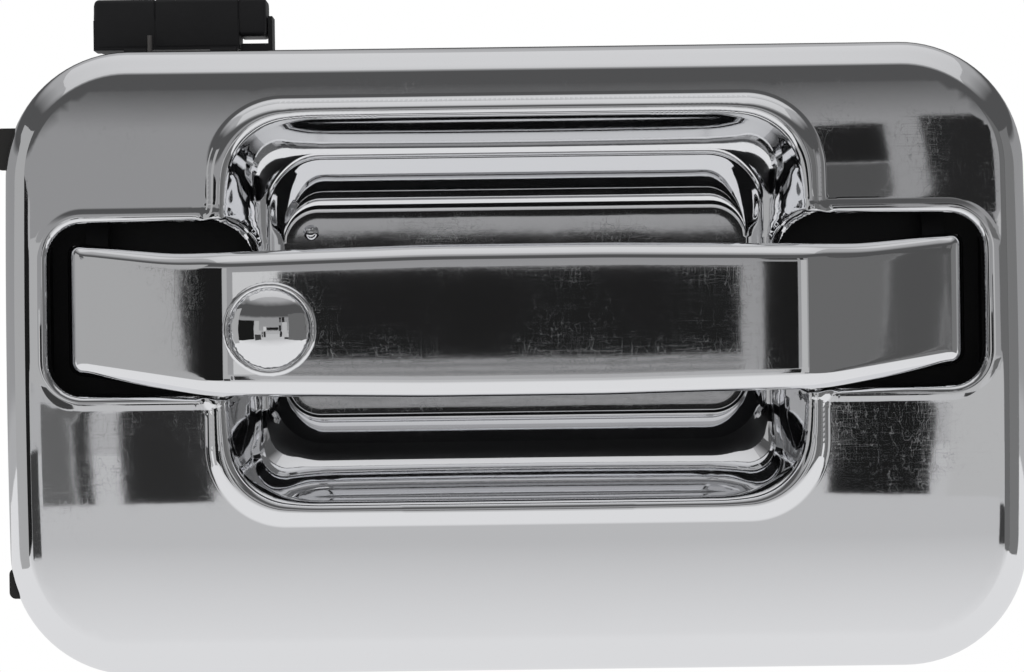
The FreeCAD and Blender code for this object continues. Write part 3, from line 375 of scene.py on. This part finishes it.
def make_cover():
    points, faces = [front], [tuple(face) for face in triangles]
    start = len(front)
    stacks = [(edge_loops(), True), (scoop_loops(), False)] + [(skirt_loops(shape), False) for shape in WELLS]
    for loops, outwards in stacks:
        part = skin(loops, start=start)
        faces += [tuple(reversed(face)) for face in part] if outwards else part
        points += loops
        start += len(loops) * len(loops[0])
        if len(loops) > len(SCOOP) + 2:
            faces.append(tuple(range(start - len(loops[0]), start)))
    piece = weld(mesh_piece("cover_shell", np.vstack(points), faces))
    shell = piece.modifiers.new("wall", "SOLIDIFY")
    shell.thickness = WALL * MM
    shell.offset = -1
    return piece


cover = make_cover()


# %% [markdown]
# ## Turned pieces
# The blank cap, its ring and the pip on the scoop's floor are all turned shapes.
# A profile of radius and depth is spun round an axis that points into the door.
# A lathe makes them on the real handle, and a spun profile keeps their rims truly round.

# %% Turned pieces
def round_loop(x, depth, z, radius, sides):
    """Points round an axis into the door; the radius may be one number or one for each point."""
    turn = np.linspace(0, 2 * math.pi, sides, endpoint=False)
    return np.column_stack([x + radius * np.cos(turn), np.full(sides, depth), z + radius * np.sin(turn)])


def turned(name, profile, x, z, sides=96, sharp=35):
    """Spin a profile of (radius, depth) round an axis into the door."""
    loops = [round_loop(x, depth, z, radius, sides) for radius, depth in profile]
    return weld(mesh_piece(name, np.vstack(loops), skin(loops), sharp), 0.5)


def arc(radius, start, end, steps, centre=(0, 0)):
    """Points of a quarter or part circle, angles in degrees."""
    spread = np.radians(np.linspace(start, end, steps))
    return [(centre[0] + radius * math.cos(a), centre[1] + radius * math.sin(a)) for a in spread]


CAP_R = 8.75
CAP_RIM = RING_LOW[1] + 0.25
CAP_DOME = 2.75


def cap_profile():
    bend = (CAP_R ** 2 + CAP_DOME ** 2) / (2 * CAP_DOME)
    dome = []
    for share in np.linspace(0, 0.965, 26):
        r = CAP_R * share
        dome.append((r, CAP_RIM - CAP_DOME + bend - math.sqrt(bend ** 2 - r ** 2)))
    edge = [(CAP_R - 0.1, CAP_RIM - 0.05), (CAP_R, CAP_RIM + 0.2), (CAP_R, CAP_RIM + 1.6), (0, CAP_RIM + 1.6)]
    return [(0.0005, dome[0][1])] + dome[1:] + edge


RING_R = (RING_HIGH[0] - RING_LOW[0]) / 2
RING_IN = CAP_R + 0.12
RING_FRONT = RING_LOW[1]
RING_BACK = RING_FRONT + 2.6
ring_profile = [(RING_IN, RING_FRONT + 2), (RING_IN, RING_FRONT + 0.5)]
ring_profile += arc(0.5, 180, 270, 7, (RING_IN + 0.5, RING_FRONT + 0.5))
ring_profile += arc(0.75, 270, 360, 9, (RING_R - 0.75, RING_FRONT + 0.75))
ring_profile += [(RING_R, RING_BACK), (RING_IN, RING_BACK), (RING_IN, RING_FRONT + 2)]
cap = turned("blank_cap", cap_profile(), LOCK[0], LOCK[2])
ring = turned("raised_ring", ring_profile, LOCK[0], LOCK[2])

PIP_R = 1.6
PIP_AT = (-47.5, 47)
pip_profile = [(PIP_R + 0.3, 16.4), (PIP_R + 0.3, 16.0), (PIP_R + 0.12, 15.8)]
pip_profile += arc(PIP_R, 0, -88, 10, (0, 15.75))[1:] + [(0.001, 14.15)]
pip = turned("floor_pip", pip_profile, *PIP_AT, 32)


# %% [markdown]
# ## Bosses and threads
# The studs and the cover's screws stand in bosses that are cast onto the back of the cover.
# A flared foot spreads their pull into the wall. They are turned pieces with a hole down the middle.
# A real thread winds round each stud; a bump in the finish would leave the stud's outline straight.

# %% Bosses behind the cover
SCREW_R = 1.5
SCREW_BOSS_R = 3.6
PLATE_FRONT = 9.5
HIGH_SCREW = (30, PIVOT[1] + 8.1, -7.4)
LOW_SCREW = (50, -6.5, 3.4)
STUD_ROOT_R = 4
STUD_BOSS_R = 6
STUD_BOSS = (-10.2, -0.3)


def boss(name, x, z, start, end, bore, radius):
    """A ring that stands on the back of the cover, with a flared foot and a hole down its middle."""
    profile = [(bore, end - 0.01), (bore, start), (radius + 0.9, start), (radius + 0.25, start + 1.5),
               (radius, start + 2.5), (radius, end - 0.4), (radius - 0.3, end), (bore, end),
               (bore, end - 0.01)]
    return turned(name, profile, x, z, 48)


bosses = []
for side, sign in (("left", -1), ("right", 1)):
    stud_low, stud_high = box(f"mounting_stud_{side}")
    stud_x = (stud_low[0] + stud_high[0]) / 2
    bosses.append(boss(f"stud_boss_{side}", stud_x, 0, *STUD_BOSS, STUD_ROOT_R + 0.02, STUD_BOSS_R))
    for place, (x, z, start) in (("high", HIGH_SCREW), ("low", LOW_SCREW)):
        name = f"{place}_screw_boss_{side}"
        bosses.append(boss(name, sign * x, z, start, PLATE_FRONT, SCREW_R, SCREW_BOSS_R))


# %% Threaded studs
THREAD_PITCH = 1.0
THREAD_DEPTH = 0.55
THREAD_START = 1.5
TIP_TAPER = 0.9
STUD_R = 3.0


def threaded_stud(name, node, sides=40):
    """A smooth root and a shaft whose radius rises and falls along a line that winds round it."""
    low, high = box(node)
    x, z = (low[0] + high[0]) / 2, (low[2] + high[2]) / 2
    turn = np.linspace(0, 2 * math.pi, sides, endpoint=False)
    loops = [round_loop(x, depth, z, STUD_ROOT_R, sides) for depth in (low[1], STUD_BOSS[1] - 0.01)]
    for depth in np.arange(STUD_BOSS[1], high[1] + 0.001, THREAD_PITCH / 8):
        phase = (depth / THREAD_PITCH - turn / (2 * math.pi)) % 1
        cut = THREAD_DEPTH * np.abs(2 * phase - 1)
        cut = cut * np.clip((depth - THREAD_START) / 0.6, 0, 1)
        taper = np.clip((depth - high[1] + TIP_TAPER) / TIP_TAPER, 0, 1) * 0.7
        radius = np.minimum(STUD_R - cut, STUD_R - taper)
        loops.append(round_loop(x, depth, z, radius, sides))
    return capped(name, loops, 30)


studs = [threaded_stud(f"threaded_stud_{side}", f"mounting_stud_{side}") for side in ("left", "right")]


# %% [markdown]
# ## The pull strap
# The strap is a hollow bar, bowed in the middle and sloping back into the wells at both ends.
# A rounded section is carried along it, while its height, its front and its back follow three curves.
# The bends are averaged like the rim, because a real press would never leave them sharp.

# %% Loft of the strap
STRAP_BACK = -20.1
STRAP_FRONT = -28.6
BOW = 1600
bowed = [(x, STRAP_FRONT + x ** 2 / (2 * BOW)) for x in range(-65, 66, 5)]
strap_front = rounded_curve([(-101, -10)] + bowed + [(101, -10)], 4)
strap_back = rounded_curve([(-101, -5.6), (-88, -5.6), (-66, STRAP_BACK), (66, STRAP_BACK), (88, -5.6),
                            (101, -5.6)], 1.5)
strap_top = rounded_curve([(-101, 44.7), (-76, 41.6), (-62, 41.6), (-20, 42.6), (20, 42.6), (62, 41.9),
                           (76, 41.9), (101, 44.7)], 8)
strap_low = rounded_curve([(-101, 14.9), (-68, 9.9), (-20, 9), (20, 9), (68, 9.9), (101, 14.9)], 6)
END_R = 3.2
FRONT_ROLL = 4.0
FRONT_CROWN = 0.11


def strap_section(x, inset=0.0):
    """One closed section of the strap; an inset rolls the front, the top and the bottom back at an end."""
    top, low = strap_top(x) - inset * 0.8, strap_low(x) + inset * 0.8
    near, far = strap_front(x) + inset, strap_back(x)
    thick = far - near
    roll = min(FRONT_ROLL, 0.62 * thick)
    heel = min(1.3, 0.3 * thick)
    points = [(top - roll + roll * math.cos(a), near + roll - roll * math.sin(a))
              for a in np.linspace(0, math.pi / 2, 13)]
    face = [(z, near) for z in np.linspace(top - roll, low + roll, 26)[1:-1]]
    points += face
    points += [(low + roll - roll * math.sin(a), near + roll - roll * math.cos(a))
               for a in np.linspace(0, math.pi / 2, 13)]
    points += [(low + heel - heel * math.cos(a), far - heel + heel * math.sin(a))
               for a in np.linspace(0, math.pi / 2, 6)]
    points += [(z, far) for z in np.linspace(low + heel, top - heel, 10)[1:-1]]
    points += [(top - heel + heel * math.sin(a), far - heel + heel * math.cos(a))
               for a in np.linspace(0, math.pi / 2, 6)]
    section = np.array(points)
    middle, half = (top + low) / 2, (top - low) / 2
    bulge = FRONT_CROWN * np.maximum(0, 1 - ((section[:, 0] - middle) / half) ** 2)
    forward = np.clip((far - section[:, 1]) / thick, 0, 1)
    return np.column_stack([np.full(len(section), x), section[:, 1] - bulge * forward, section[:, 0]])


def make_strap():
    side = STRAP_HIGH[0]
    tips = [(side - END_R + END_R * math.sin(a), END_R * (1 - math.cos(a)))
            for a in np.radians(np.linspace(0, 86, 12))]
    stations = [(x, 0.0) for x in np.arange(0, side - END_R, 1.3)] + tips
    stations = [(-x, inset) for x, inset in reversed(stations[1:])] + stations
    return capped("strap_skin", [strap_section(x, inset) for x, inset in stations], 50)


strap = make_strap()


# %% [markdown]
# ## Springs
# A torsion spring is a wire that winds round a pin and ends in two legs.
# The wire is a tube swept along a path, which keeps its round section through every bend.
# Each spring is built in place between the two bodies it pushes apart.

# %% Wire springs
def tube(name, path, radius, sides=12):
    """Sweep a round wire along a list of points."""
    path = np.array(path, float)
    ahead = np.gradient(path, axis=0)
    ahead /= np.linalg.norm(ahead, axis=1, keepdims=True)
    side = np.cross(ahead[0], (0.3, 0.5, 0.8))
    loops = []
    for point, forward in zip(path, ahead):
        side = side - forward * side.dot(forward)
        side /= np.linalg.norm(side)
        up = np.cross(forward, side)
        loops.append([point + radius * (math.cos(a) * side + math.sin(a) * up)
                      for a in np.linspace(0, 2 * math.pi, sides, endpoint=False)])
    return capped(name, [np.array(loop) for loop in loops], 60)


def coil(start, end, middle, radius, turns, first, last, steps=26):
    """Points of a helix along X from one angle to another, in degrees from +Y towards +Z."""
    angles = np.radians(np.linspace(first, first + 360 * turns + (last - first), int(turns * steps)))
    x = np.linspace(start, end, len(angles))
    return [(px, middle[0] + radius * math.cos(a), middle[1] + radius * math.sin(a))
            for px, a in zip(x, angles)]


def leg(a, b, steps=10):
    """Evenly spaced points of a straight stretch of wire."""
    return [tuple(np.array(a) + (np.array(b) - np.array(a)) * share) for share in np.linspace(0, 1, steps)]


WIRE_R = 0.6
WIRE_DRAWN = WIRE_R * 0.95
GRIP_COIL_R = 5.9
GRIP_COIL_END = 17.4
GRIP_TURNS = 13
CRANK_COIL_R = 5.4
CRANK_COIL_LONG = 12
CRANK_TURNS = 8
SPRING_LOW, SPRING_HIGH = box("grip_spring")
CRANK_SPRING_LOW = box("bellcrank_spring")[0]
CRANK_PIN_LOW, CRANK_PIN_HIGH = box("bellcrank_pin")
CRANK_AXIS = ((CRANK_PIN_LOW + CRANK_PIN_HIGH) / 2)[1:]


def grip_spring():
    """A coil round the hinge pin, with one leg down on the housing and one forward on the arm."""
    start, end = SPRING_LOW[0] + WIRE_R, SPRING_LOW[0] + GRIP_COIL_END
    y, z = PIVOT
    back, front = y + GRIP_COIL_R, y - GRIP_COIL_R
    path = leg((start, back, z - 11.5), (start, back, z - 0.5))
    path += coil(start, end, PIVOT, GRIP_COIL_R, GRIP_TURNS, 0, 180)
    path += leg((end, front, z - 0.8), (end, front + 3.1, z - 14.2), 12)[1:]
    path += leg((end + 0.8, front + 3.3, z - 15), (SPRING_HIGH[0] - WIRE_R, front + 3.3, z - 15))
    return tube("pull_spring", path, WIRE_DRAWN)


def crank_spring():
    """A coil round the crank's pin, with a leg up on the crank and a leg down on the housing."""
    start, end = CRANK_SPRING_LOW[0] + WIRE_R, CRANK_SPRING_LOW[0] + CRANK_COIL_LONG - WIRE_R
    y, z = CRANK_AXIS
    front = y - CRANK_COIL_R
    path = leg((start, front, z + 10.5), (start, front, z + 0.5))
    path += coil(start, end, CRANK_AXIS, CRANK_COIL_R, CRANK_TURNS, 180, 180)
    path += leg((end, front, z - 0.5), (end, front, z - 9.6))
    return tube("crank_return_spring", path, WIRE_DRAWN)


pull_spring, return_spring = grip_spring(), crank_spring()


# %% [markdown]
# ## The counterweight
# The weight keeps the handle shut in a side impact. It is a cast block with rounded edges that hangs
# over the crank, and a fine parting line shows where the two halves of its mould met.
# A bevelled box would do for one block, but a section carried along gives the step near its right end too.

# %% Counterweight
WEIGHT_LOW, WEIGHT_HIGH = box("counterweight")
CRANK_LOW = box("bellcrank")[0]
BLOCK_LOW = CRANK_AXIS[1] + 7.6
BAR_LOW = WEIGHT_LOW[2] + 1.0
BLOCK_END = -63.3
PARTING = -82.7
BLOCK_ROUND = 1.3
BAR_ROUND = 0.8
GROOVE = 0.22


def block_section(x, low, inset):
    """A rectangle with a small round at each corner, seen along the block."""
    front, back = WEIGHT_LOW[1] - 0.9 + inset, WEIGHT_HIGH[1] - inset
    top, bottom = WEIGHT_HIGH[2] + 0.03 - inset, low + inset
    outline = round_rectangle((front, back, bottom, top, 1.1), counts=(10, 12, 7))
    return np.column_stack([np.full(len(outline), x), outline[:, 0], outline[:, 1]])


def make_weight():
    left, right = CRANK_LOW[0], WEIGHT_HIGH[0]
    turn = [(1 - math.cos(a), 1 - math.sin(a)) for a in np.radians(np.linspace(0, 90, 7))]
    stations = [(left + BLOCK_ROUND * run, BLOCK_LOW, BLOCK_ROUND * rise) for run, rise in turn]
    for x, inset in ((PARTING - 6, 0), (PARTING - 0.25, 0), (PARTING - 0.1, GROOVE), (PARTING + 0.1, GROOVE),
                     (PARTING + 0.25, 0), (PARTING + 6, 0), (BLOCK_END - 0.3, 0), (BLOCK_END, 0.3)):
        stations.append((x, BLOCK_LOW, inset))
    stations += [(BLOCK_END + 0.05, BAR_LOW, 0.3), (BLOCK_END + 0.5, BAR_LOW, 0)]
    stations += [(right - BAR_ROUND * run, BAR_LOW, BAR_ROUND * rise) for run, rise in reversed(turn)]
    return capped("weight_bar", [block_section(*station) for station in stations], 35)


weight = make_weight()


# %% [markdown]
# ## Which piece stands for what
# Every new piece but the two springs rides on a body of the working model and names the parts that it stands
# for. The springs stay where they are built and hide the parts that they stand for. Nothing here moves a
# working part.

# %% Hang the pieces on the working model
RIDERS = (
    (cover, "frame", "bezel", "chrome"),
    (pip, "frame", None, "chrome"),
    (strap, "grip", "grip_shell", "chrome"),
    (cap, "grip", "lock_cap", "chrome"),
    (ring, "grip", "lock_ring", "chrome"),
    (studs[0], "frame", "mounting_stud_left", "steel"),
    (studs[1], "frame", "mounting_stud_right", "steel"),
    (weight, "bellcrank", "counterweight", "zinc_arm"),
)
for piece, body, stands_for, slot in RIDERS:
    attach(piece, body)
    if stands_for:
        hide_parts(stands_for)
coil_x, crank_x = SPRING_LOW[0], CRANK_SPRING_LOW[0]
for piece, body, stands_for, low, high, middle in (
        (pull_spring, "grip", "grip_spring", coil_x + 1.5, coil_x + 16.5, PIVOT),
        (return_spring, "bellcrank", "bellcrank_spring", crank_x + 10.5, crank_x + 1.5, CRANK_AXIS)):
    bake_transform(piece)
    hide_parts(stands_for)
for piece in bosses:
    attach(piece, "frame")


# %% [markdown]
# ## Writing shader maths as sums
# A material is a graph of nodes, and a long graph is hard to read in code.
# The small class below wraps a socket, so that 1 - mask or noise * 0.2 adds the right Math node by itself.
# Any other node comes from one method that takes its type, its settings and its sockets.

# %% A socket that knows arithmetic
class Wire:
    """A node socket that can be used in sums."""

    def __init__(self, graph, socket):
        self.graph = graph
        self.socket = socket

    def maths(self, operation, *values):
        return self.graph.node("ShaderNodeMath", {"operation": operation}, values)

    def __add__(self, other):
        return self.maths("ADD", self, other)

    def __radd__(self, other):
        return self.maths("ADD", other, self)

    def __sub__(self, other):
        return self.maths("SUBTRACT", self, other)

    def __rsub__(self, other):
        return self.maths("SUBTRACT", other, self)

    def __mul__(self, other):
        return self.maths("MULTIPLY", self, other)

    def __rmul__(self, other):
        return self.maths("MULTIPLY", other, self)

    def kept(self):
        """The value held between 0 and 1."""
        return self.maths("MINIMUM", self.maths("MAXIMUM", self, 0.0), 1.0)


# %% One method for every other node
class Graph:
    """A node tree whose nodes are added by short calls."""

    def __init__(self, tree):
        self.tree = tree

    def node(self, kind, settings=None, inputs=(), out=0):
        """Add a node: settings first, then its sockets by order or by name."""
        made = self.tree.nodes.new(kind)
        for label, value in (settings or {}).items():
            if label == "stops":
                while len(made.color_ramp.elements) < len(value):
                    made.color_ramp.elements.new(0.5)
                for element, (position, colour) in zip(made.color_ramp.elements, value):
                    element.position = position
                    element.color = colour
            else:
                setattr(made, label, value)
        pairs = inputs.items() if isinstance(inputs, dict) else enumerate(inputs)
        for key, value in pairs:
            if isinstance(value, Wire):
                self.tree.links.new(value.socket, made.inputs[key])
            else:
                made.inputs[key].default_value = value
        return Wire(self, made.outputs[out])


# %% A finish is a material under construction
class Finish(Graph):
    """A material that starts from one shader and grows by short calls."""

    def __init__(self, name, **constants):
        self.material = bpy.data.materials.new(name)
        self.material.use_nodes = True
        super().__init__(self.material.node_tree)
        self.shader = self.tree.nodes["Principled BSDF"]
        for label, value in constants.items():
            self.shader.inputs[label.replace("_", " ")].default_value = value
        self.place = self.node("ShaderNodeTexCoord", out="Object")

    def noise(self, scale, detail=3.0, roughness=0.5, at=None):
        """Even noise from 0 to 1; scale counts bumps per metre."""
        return self.node("ShaderNodeTexNoise", inputs={"Vector": at or self.place, "Scale": scale,
                                                        "Detail": detail, "Roughness": roughness})

    def stretched(self, by):
        """The place on the piece, scaled along each axis."""
        return self.node("ShaderNodeVectorMath", {"operation": "MULTIPLY"}, (self.place, by))

    def mix(self, share, first, second):
        """A colour between two colours."""
        return self.node("ShaderNodeMix", {"data_type": "RGBA"}, {0: share, 6: first, 7: second}, out=2)

    def bump(self, height, strength, reach):
        return self.node("ShaderNodeBump", inputs={"Strength": strength, "Distance": reach, "Height": height})

    def feed(self, **sockets):
        """Connect what varies over the surface."""
        for label, value in sockets.items():
            self.tree.links.new(value.socket, self.shader.inputs[label.replace("_", " ")])
        return self.material


# %% [markdown]
# ## Chrome
# Chrome is a thin bright plate over polished metal. It mirrors the room, and only its flaws show the plate.
# The flaws are fine hairlines from wiping, a little dust, and a very faint waviness of the polished casting.
# Each is a mask that raises the roughness or tilts the surface by almost nothing.

# %% Chrome finish
def hairlines(finish, direction, density, width):
    """Thin straight scratches: a stretched noise that is kept only near one value."""
    lines = finish.noise(density, 2.0, 0.6, finish.stretched(direction))
    away = lines.maths("ABSOLUTE", lines - 0.5)
    patchy = (finish.noise(38, 2.0) * 3.2 - 1.35).kept()
    return (1 - away * width).kept() * patchy


def chrome(name, wave=0.25):
    finish = Finish(name, Metallic=1.0)
    across = hairlines(finish, (0.05, 1.0, 1.6), 900, 60)
    down = hairlines(finish, (1.3, 1.0, 0.07), 700, 75)
    slanting = hairlines(finish, (0.6, 1.0, 0.35), 520, 90)
    scratches = (across * 0.6 + down * 0.5 + slanting * 0.8).kept()
    dust = ((finish.noise(3400, 1.0) - 0.77) * 14).kept() * (finish.noise(60, 2.0) * 2.6 - 1.1).kept()
    haze = (finish.noise(90, 3.0, 0.6) * 1.6 - 0.7).kept()
    colour = finish.mix(dust * 0.4, (0.86, 0.865, 0.88, 1), (0.42, 0.41, 0.39, 1))
    roughness = 0.03 + haze * 0.012 + scratches * 0.13 + dust * 0.4
    height = finish.noise(55, 1.0) * wave + finish.noise(420, 2.0) * 0.012 + scratches * -0.004
    return finish.feed(Base_Color=colour, Roughness=roughness, Normal=finish.bump(height, 0.35, 0.00022))


cover_chrome = chrome("cover chrome", 0.22)
strap_chrome = chrome("strap chrome", 0.1)
print("chrome nodes:", len(cover_chrome.node_tree.nodes))


# %% [markdown]
# ## Moulded plastic, rubber and cast zinc
# Moulded plastic has a fine even grain from the eroded tool, and is a little shinier where it was rubbed.
# Rubber is duller, with coarse soft mottling. The cast arms and the bellcrank have a black electro-coat,
# which pools softly over the rough skin of the casting.

# %% Plastic, rubber and coated zinc
def grained(name, low, high, roughness, grain, depth, specular=0.5):
    """A moulded or coated surface: two tones, a fine grain and a broad mottling."""
    finish = Finish(name, Specular_IOR_Level=specular)
    broad = finish.noise(60, 4.0, 0.6)
    fine = finish.noise(grain, 3.0, 0.65)
    cells = finish.node("ShaderNodeTexVoronoi", {"feature": "F1"},
                        {"Vector": finish.place, "Scale": grain * 0.8})
    colour = finish.mix((broad * 0.7 + fine * 0.3).kept(), low, high)
    return finish.feed(Base_Color=colour, Roughness=(roughness - 0.08 + broad * 0.16 + fine * 0.06).kept(),
                       Normal=finish.bump(cells * 0.6 + fine * 0.4, 0.5, depth))


black_plastic = grained("black moulded plastic", (0.006, 0.006, 0.007, 1), (0.014, 0.014, 0.015, 1), 0.52,
                        1500, 0.00010, 0.35)
rubber = grained("black rubber", (0.010, 0.010, 0.010, 1), (0.030, 0.029, 0.028, 1), 0.72, 900, 0.00012, 0.3)
coated_zinc = grained("black coated casting", (0.005, 0.005, 0.006, 1), (0.013, 0.013, 0.014, 1), 0.5, 700,
                      0.00016, 0.3)
white_plastic = grained("white acetal", (0.70, 0.69, 0.65, 1), (0.80, 0.79, 0.76, 1), 0.38, 1200, 0.00004)


# %% [markdown]
# ## Steel
# Pins, screws and studs are steel with a thin zinc plate: grey, slightly yellow in places and softly shiny.
# The springs are darker drawn wire. Its fine lines run along the wire, so a noise in steps is enough.

# %% Steel finishes
def plated(name, bright, dull, roughness, lines):
    finish = Finish(name, Metallic=1.0)
    cloud = finish.noise(140, 4.0, 0.6)
    drawn = finish.noise(1200, 2.0, 0.5, finish.stretched(lines))
    spots = ((finish.noise(420, 3.0) - 0.6) * 6).kept()
    colour = finish.mix((cloud * 0.8 + spots * 0.4).kept(), bright, dull)
    dullness = (roughness + cloud * 0.14 + drawn * 0.12 + spots * 0.15).kept()
    return finish.feed(Base_Color=colour, Roughness=dullness,
                       Normal=finish.bump(drawn * 0.5 + spots * 0.3, 0.35, 0.00006))


steel = plated("zinc-plated steel", (0.62, 0.61, 0.57, 1), (0.44, 0.43, 0.38, 1), 0.24, (0.08, 1.0, 1.0))
spring_steel = plated("drawn spring wire", (0.30, 0.29, 0.28, 1), (0.16, 0.15, 0.15, 1), 0.28,
                      (0.5, 1.0, 1.0))


# %% Give every piece its finish
FINISHES = {
    cover_chrome: ["cover_shell", "floor_pip"] + [piece.name for piece in bosses],
    strap_chrome: ["strap_skin", "raised_ring", "blank_cap"],
    black_plastic: ["housing", "grip_liner"],
    rubber: ["door_gasket", "rest_bumper_left", "rest_bumper_right"],
    coated_zinc: ["grip_arm_left", "grip_arm_right", "bellcrank", "weight_bar"],
    steel: ["threaded_stud_left", "threaded_stud_right", "bezel_screws", "grip_arm_screws", "hinge_pin",
            "bellcrank_pin"],
    spring_steel: ["hinge_pin_clip", "bellcrank_pin_clip", "lock_cap_retainer", "pull_spring",
                   "crank_return_spring"],
    white_plastic: ["pivot_bush_left", "pivot_bush_right", "rod_clip"],
}
for material, names in FINISHES.items():
    for name in names:
        piece = bpy.data.objects[name]
        piece.data.materials.clear()
        piece.data.materials.append(material)
print("finishes:", {material.name: len(names) for material, names in FINISHES.items()})


# %% [markdown]
# ## The studio
# Chrome looks like what is around it, so the room is as important as the metal.
# There is a pale floor well below the handle, whose glow is painted light, dimmer far in front and brighter
# near the handle, a white backdrop all round that the metal doesn't mirror, and a room that changes only with
# height, which it does mirror.
# Flat cards stand in front like the dark and light things of a workshop. The camera doesn't see them,
# but they show in the metal as crisp patches, and that contrast is what makes chrome read as chrome.

# %% Floor, backdrop and surround
FLOOR_Z = -0.41


def glowing(name, level):
    """A matt sheet with its own light, so that its brightness in the metal is exactly the level given."""
    return Finish(name, Base_Color=(0, 0, 0, 1), Roughness=1.0, Specular_IOR_Level=0.0,
                  Emission_Color=(level, level, level, 1), Emission_Strength=1.0)


def sheet(name, corners, finish):
    """One flat stage sheet through its corners, in metres."""
    mesh = bpy.data.meshes.new(name)
    mesh.from_pydata([tuple(c) for c in corners], [], [tuple(range(len(corners)))])
    mesh.materials.append(finish.material)
    made = bpy.data.objects.new(name, mesh)
    bpy.context.collection.objects.link(made)
    return made


floor = glowing("pale floor", 0.5)
# Painted light falloff: the floor glows dimmer far in front of the handle than near it, standing in for how
# light falls across it.
along = floor.node("ShaderNodeSeparateXYZ", inputs=(floor.place,), out=1)
near = floor.node("ShaderNodeMapRange", inputs={"Value": along, "From Min": -1.45, "From Max": -0.8})
floor.feed(Emission_Color=floor.mix(near, (0.54, 0.54, 0.545, 1), (0.80, 0.80, 0.805, 1)))
sheet("pale_floor", [(-4, -3, FLOOR_Z), (4, -3, FLOOR_Z), (4, 3, FLOOR_Z), (-4, 3, FLOOR_Z)], floor)
PANELS = 12
PANEL_TOP = 4
ROOM_R = 3
panel_finish = glowing("white backdrop", 1.0)
posts = [(ROOM_R * math.cos(a), ROOM_R * math.sin(a)) for a in np.linspace(0, 2 * math.pi, PANELS + 1)]
for k in range(PANELS):
    (x0, y0), (x1, y1) = posts[k], posts[k + 1]
    corners = [(x0, y0, FLOOR_Z), (x1, y1, FLOOR_Z), (x1, y1, PANEL_TOP), (x0, y0, PANEL_TOP)]
    panel = sheet(f"backdrop_{k}", corners, panel_finish)
    panel.visible_glossy = panel.visible_shadow = False


# %% Room light
SKY = ((-90, 0.80), (-24, 0.78), (-14, 0.55), (-12, 0.45), (-3, 0.45), (-1.6, 0.34), (8, 0.31), (18, 0.31),
       (21.5, 0.09), (38, 0.09), (48, 0.40), (90, 0.52))


def room_light():
    """A sky that changes with height only; each stop is an angle above the horizon and a level."""
    world = bpy.data.worlds.new("studio")
    bpy.context.scene.world = world
    world.use_nodes = True
    room = Graph(world.node_tree)
    where = room.node("ShaderNodeTexCoord", out="Generated")
    height = room.node("ShaderNodeSeparateXYZ", inputs=(where,), out="Z")
    lift = room.node("ShaderNodeMapRange", inputs={"Value": height, "From Min": -1})
    stops = [((math.sin(math.radians(angle)) + 1) / 2, (level, level, level * 1.01, 1))
             for angle, level in SKY]
    sky = room.node("ShaderNodeValToRGB", {"stops": stops}, (lift,))
    room.tree.links.new(sky.socket, room.tree.nodes["Background"].inputs["Color"])


room_light()


# %% Cards in front of the metal
CARD_REACH = 1.5
CARDS = {
    "strap_dark": (-9.9, 9.5, -0.45, 3.7, 0.014),
    "strap_left_light": (-15, -9.9, -1.5, 5, 0.62),
    "left_bend_light": (-30, -22, -6, 14, 0.45),
    "low_dark_left": (-30, -19, -24, -7, 0.05),
    "low_dark_right": (20, 27, -24, -12.5, 0.05),
    "left_bend_black": (-58.2, -31, -14, 14, 0.012),
    "left_wall": (-82, -58.3, -25, 30, 0.42),
    "right_bend_black": (10.5, 14, -2.5, 7, 0.012),
    "right_bend_light": (16, 24, -12, 12, 0.5),
    "right_bend_grey": (27, 59.3, -20, 25, 0.15),
    "right_wall_dark": (59.35, 60.9, -20, 25, 0.085),
    "right_wall_grey": (60.95, 61.7, -20, 25, 0.12),
    "right_wall": (61.75, 82, -20, 25, 0.19),
    "left_low_dark": (-14.6, -11.3, -11.8, -3, 0.026),
    "left_low_line": (-16.3, -15.7, -11.8, -3, 0.03),
    "left_low_grey": (-17.8, -16.4, -11.8, -3, 0.13),
    "right_low_dark": (11.6, 15.4, -11.8, -3, 0.012),
    "right_low_edge": (16.7, 20, -11.8, -3, 0.02),
    "right_high_dark": (11, 14.3, 16.7, 20, 0.016),
    "right_high_grey": (11, 14.3, 12, 16.6, 0.085),
    "right_high_edge": (15.7, 20, 12, 20.5, 0.02),
}
for k in range(5):
    CARDS[f"blind_{k}"] = (-9.9, 9.5, -0.80 - 0.36 * k, -0.66 - 0.36 * k, 0.12)


def card(name, left, right, low, high, level):
    """A flat card that spans a range of angles as seen from the handle, unseen by the camera."""
    corners = []
    for across, up in ((left, low), (right, low), (right, high), (left, high)):
        a, e = math.radians(across), math.radians(up)
        corners.append((CARD_REACH * math.sin(a) * math.cos(e), -CARD_REACH * math.cos(a) * math.cos(e),
                        CARD_REACH * math.sin(e)))
    made = sheet(name, corners, glowing(name, level))
    made.visible_camera = made.visible_shadow = made.visible_diffuse = False


for name, place in CARDS.items():
    card(name, *place)
print("cards:", len(CARDS))


# %% Lamp
def lamp(name, place, aim, size, power):
    light = bpy.data.lights.new(name, "AREA")
    light.shape = "RECTANGLE"
    light.size, light.size_y = size
    light.energy = power
    holder = bpy.data.objects.new(name, light)
    holder.location = place
    holder.rotation_euler = (Vector(aim) - Vector(place)).to_track_quat("-Z", "Y").to_euler()
    bpy.context.collection.objects.link(holder)


lamp("top_soft_box", (0.0, -0.25, 1.1), (0, 0.05, 0), (1.6, 0.9), 0.9)


# %% Camera
eye = bpy.data.cameras.new("studio camera")
eye.lens = 108
eye.sensor_width = 36
camera = bpy.data.objects.new("studio camera", eye)
camera.location = (-0.0010, -0.700, 0.0223)
camera.rotation_euler = (math.radians(90), math.radians(0.75), 0)
bpy.context.collection.objects.link(camera)
bpy.context.scene.camera = camera
bpy.context.scene.view_settings.view_transform = "Standard"
print("camera at", camera.location[:], "with lens", eye.lens)
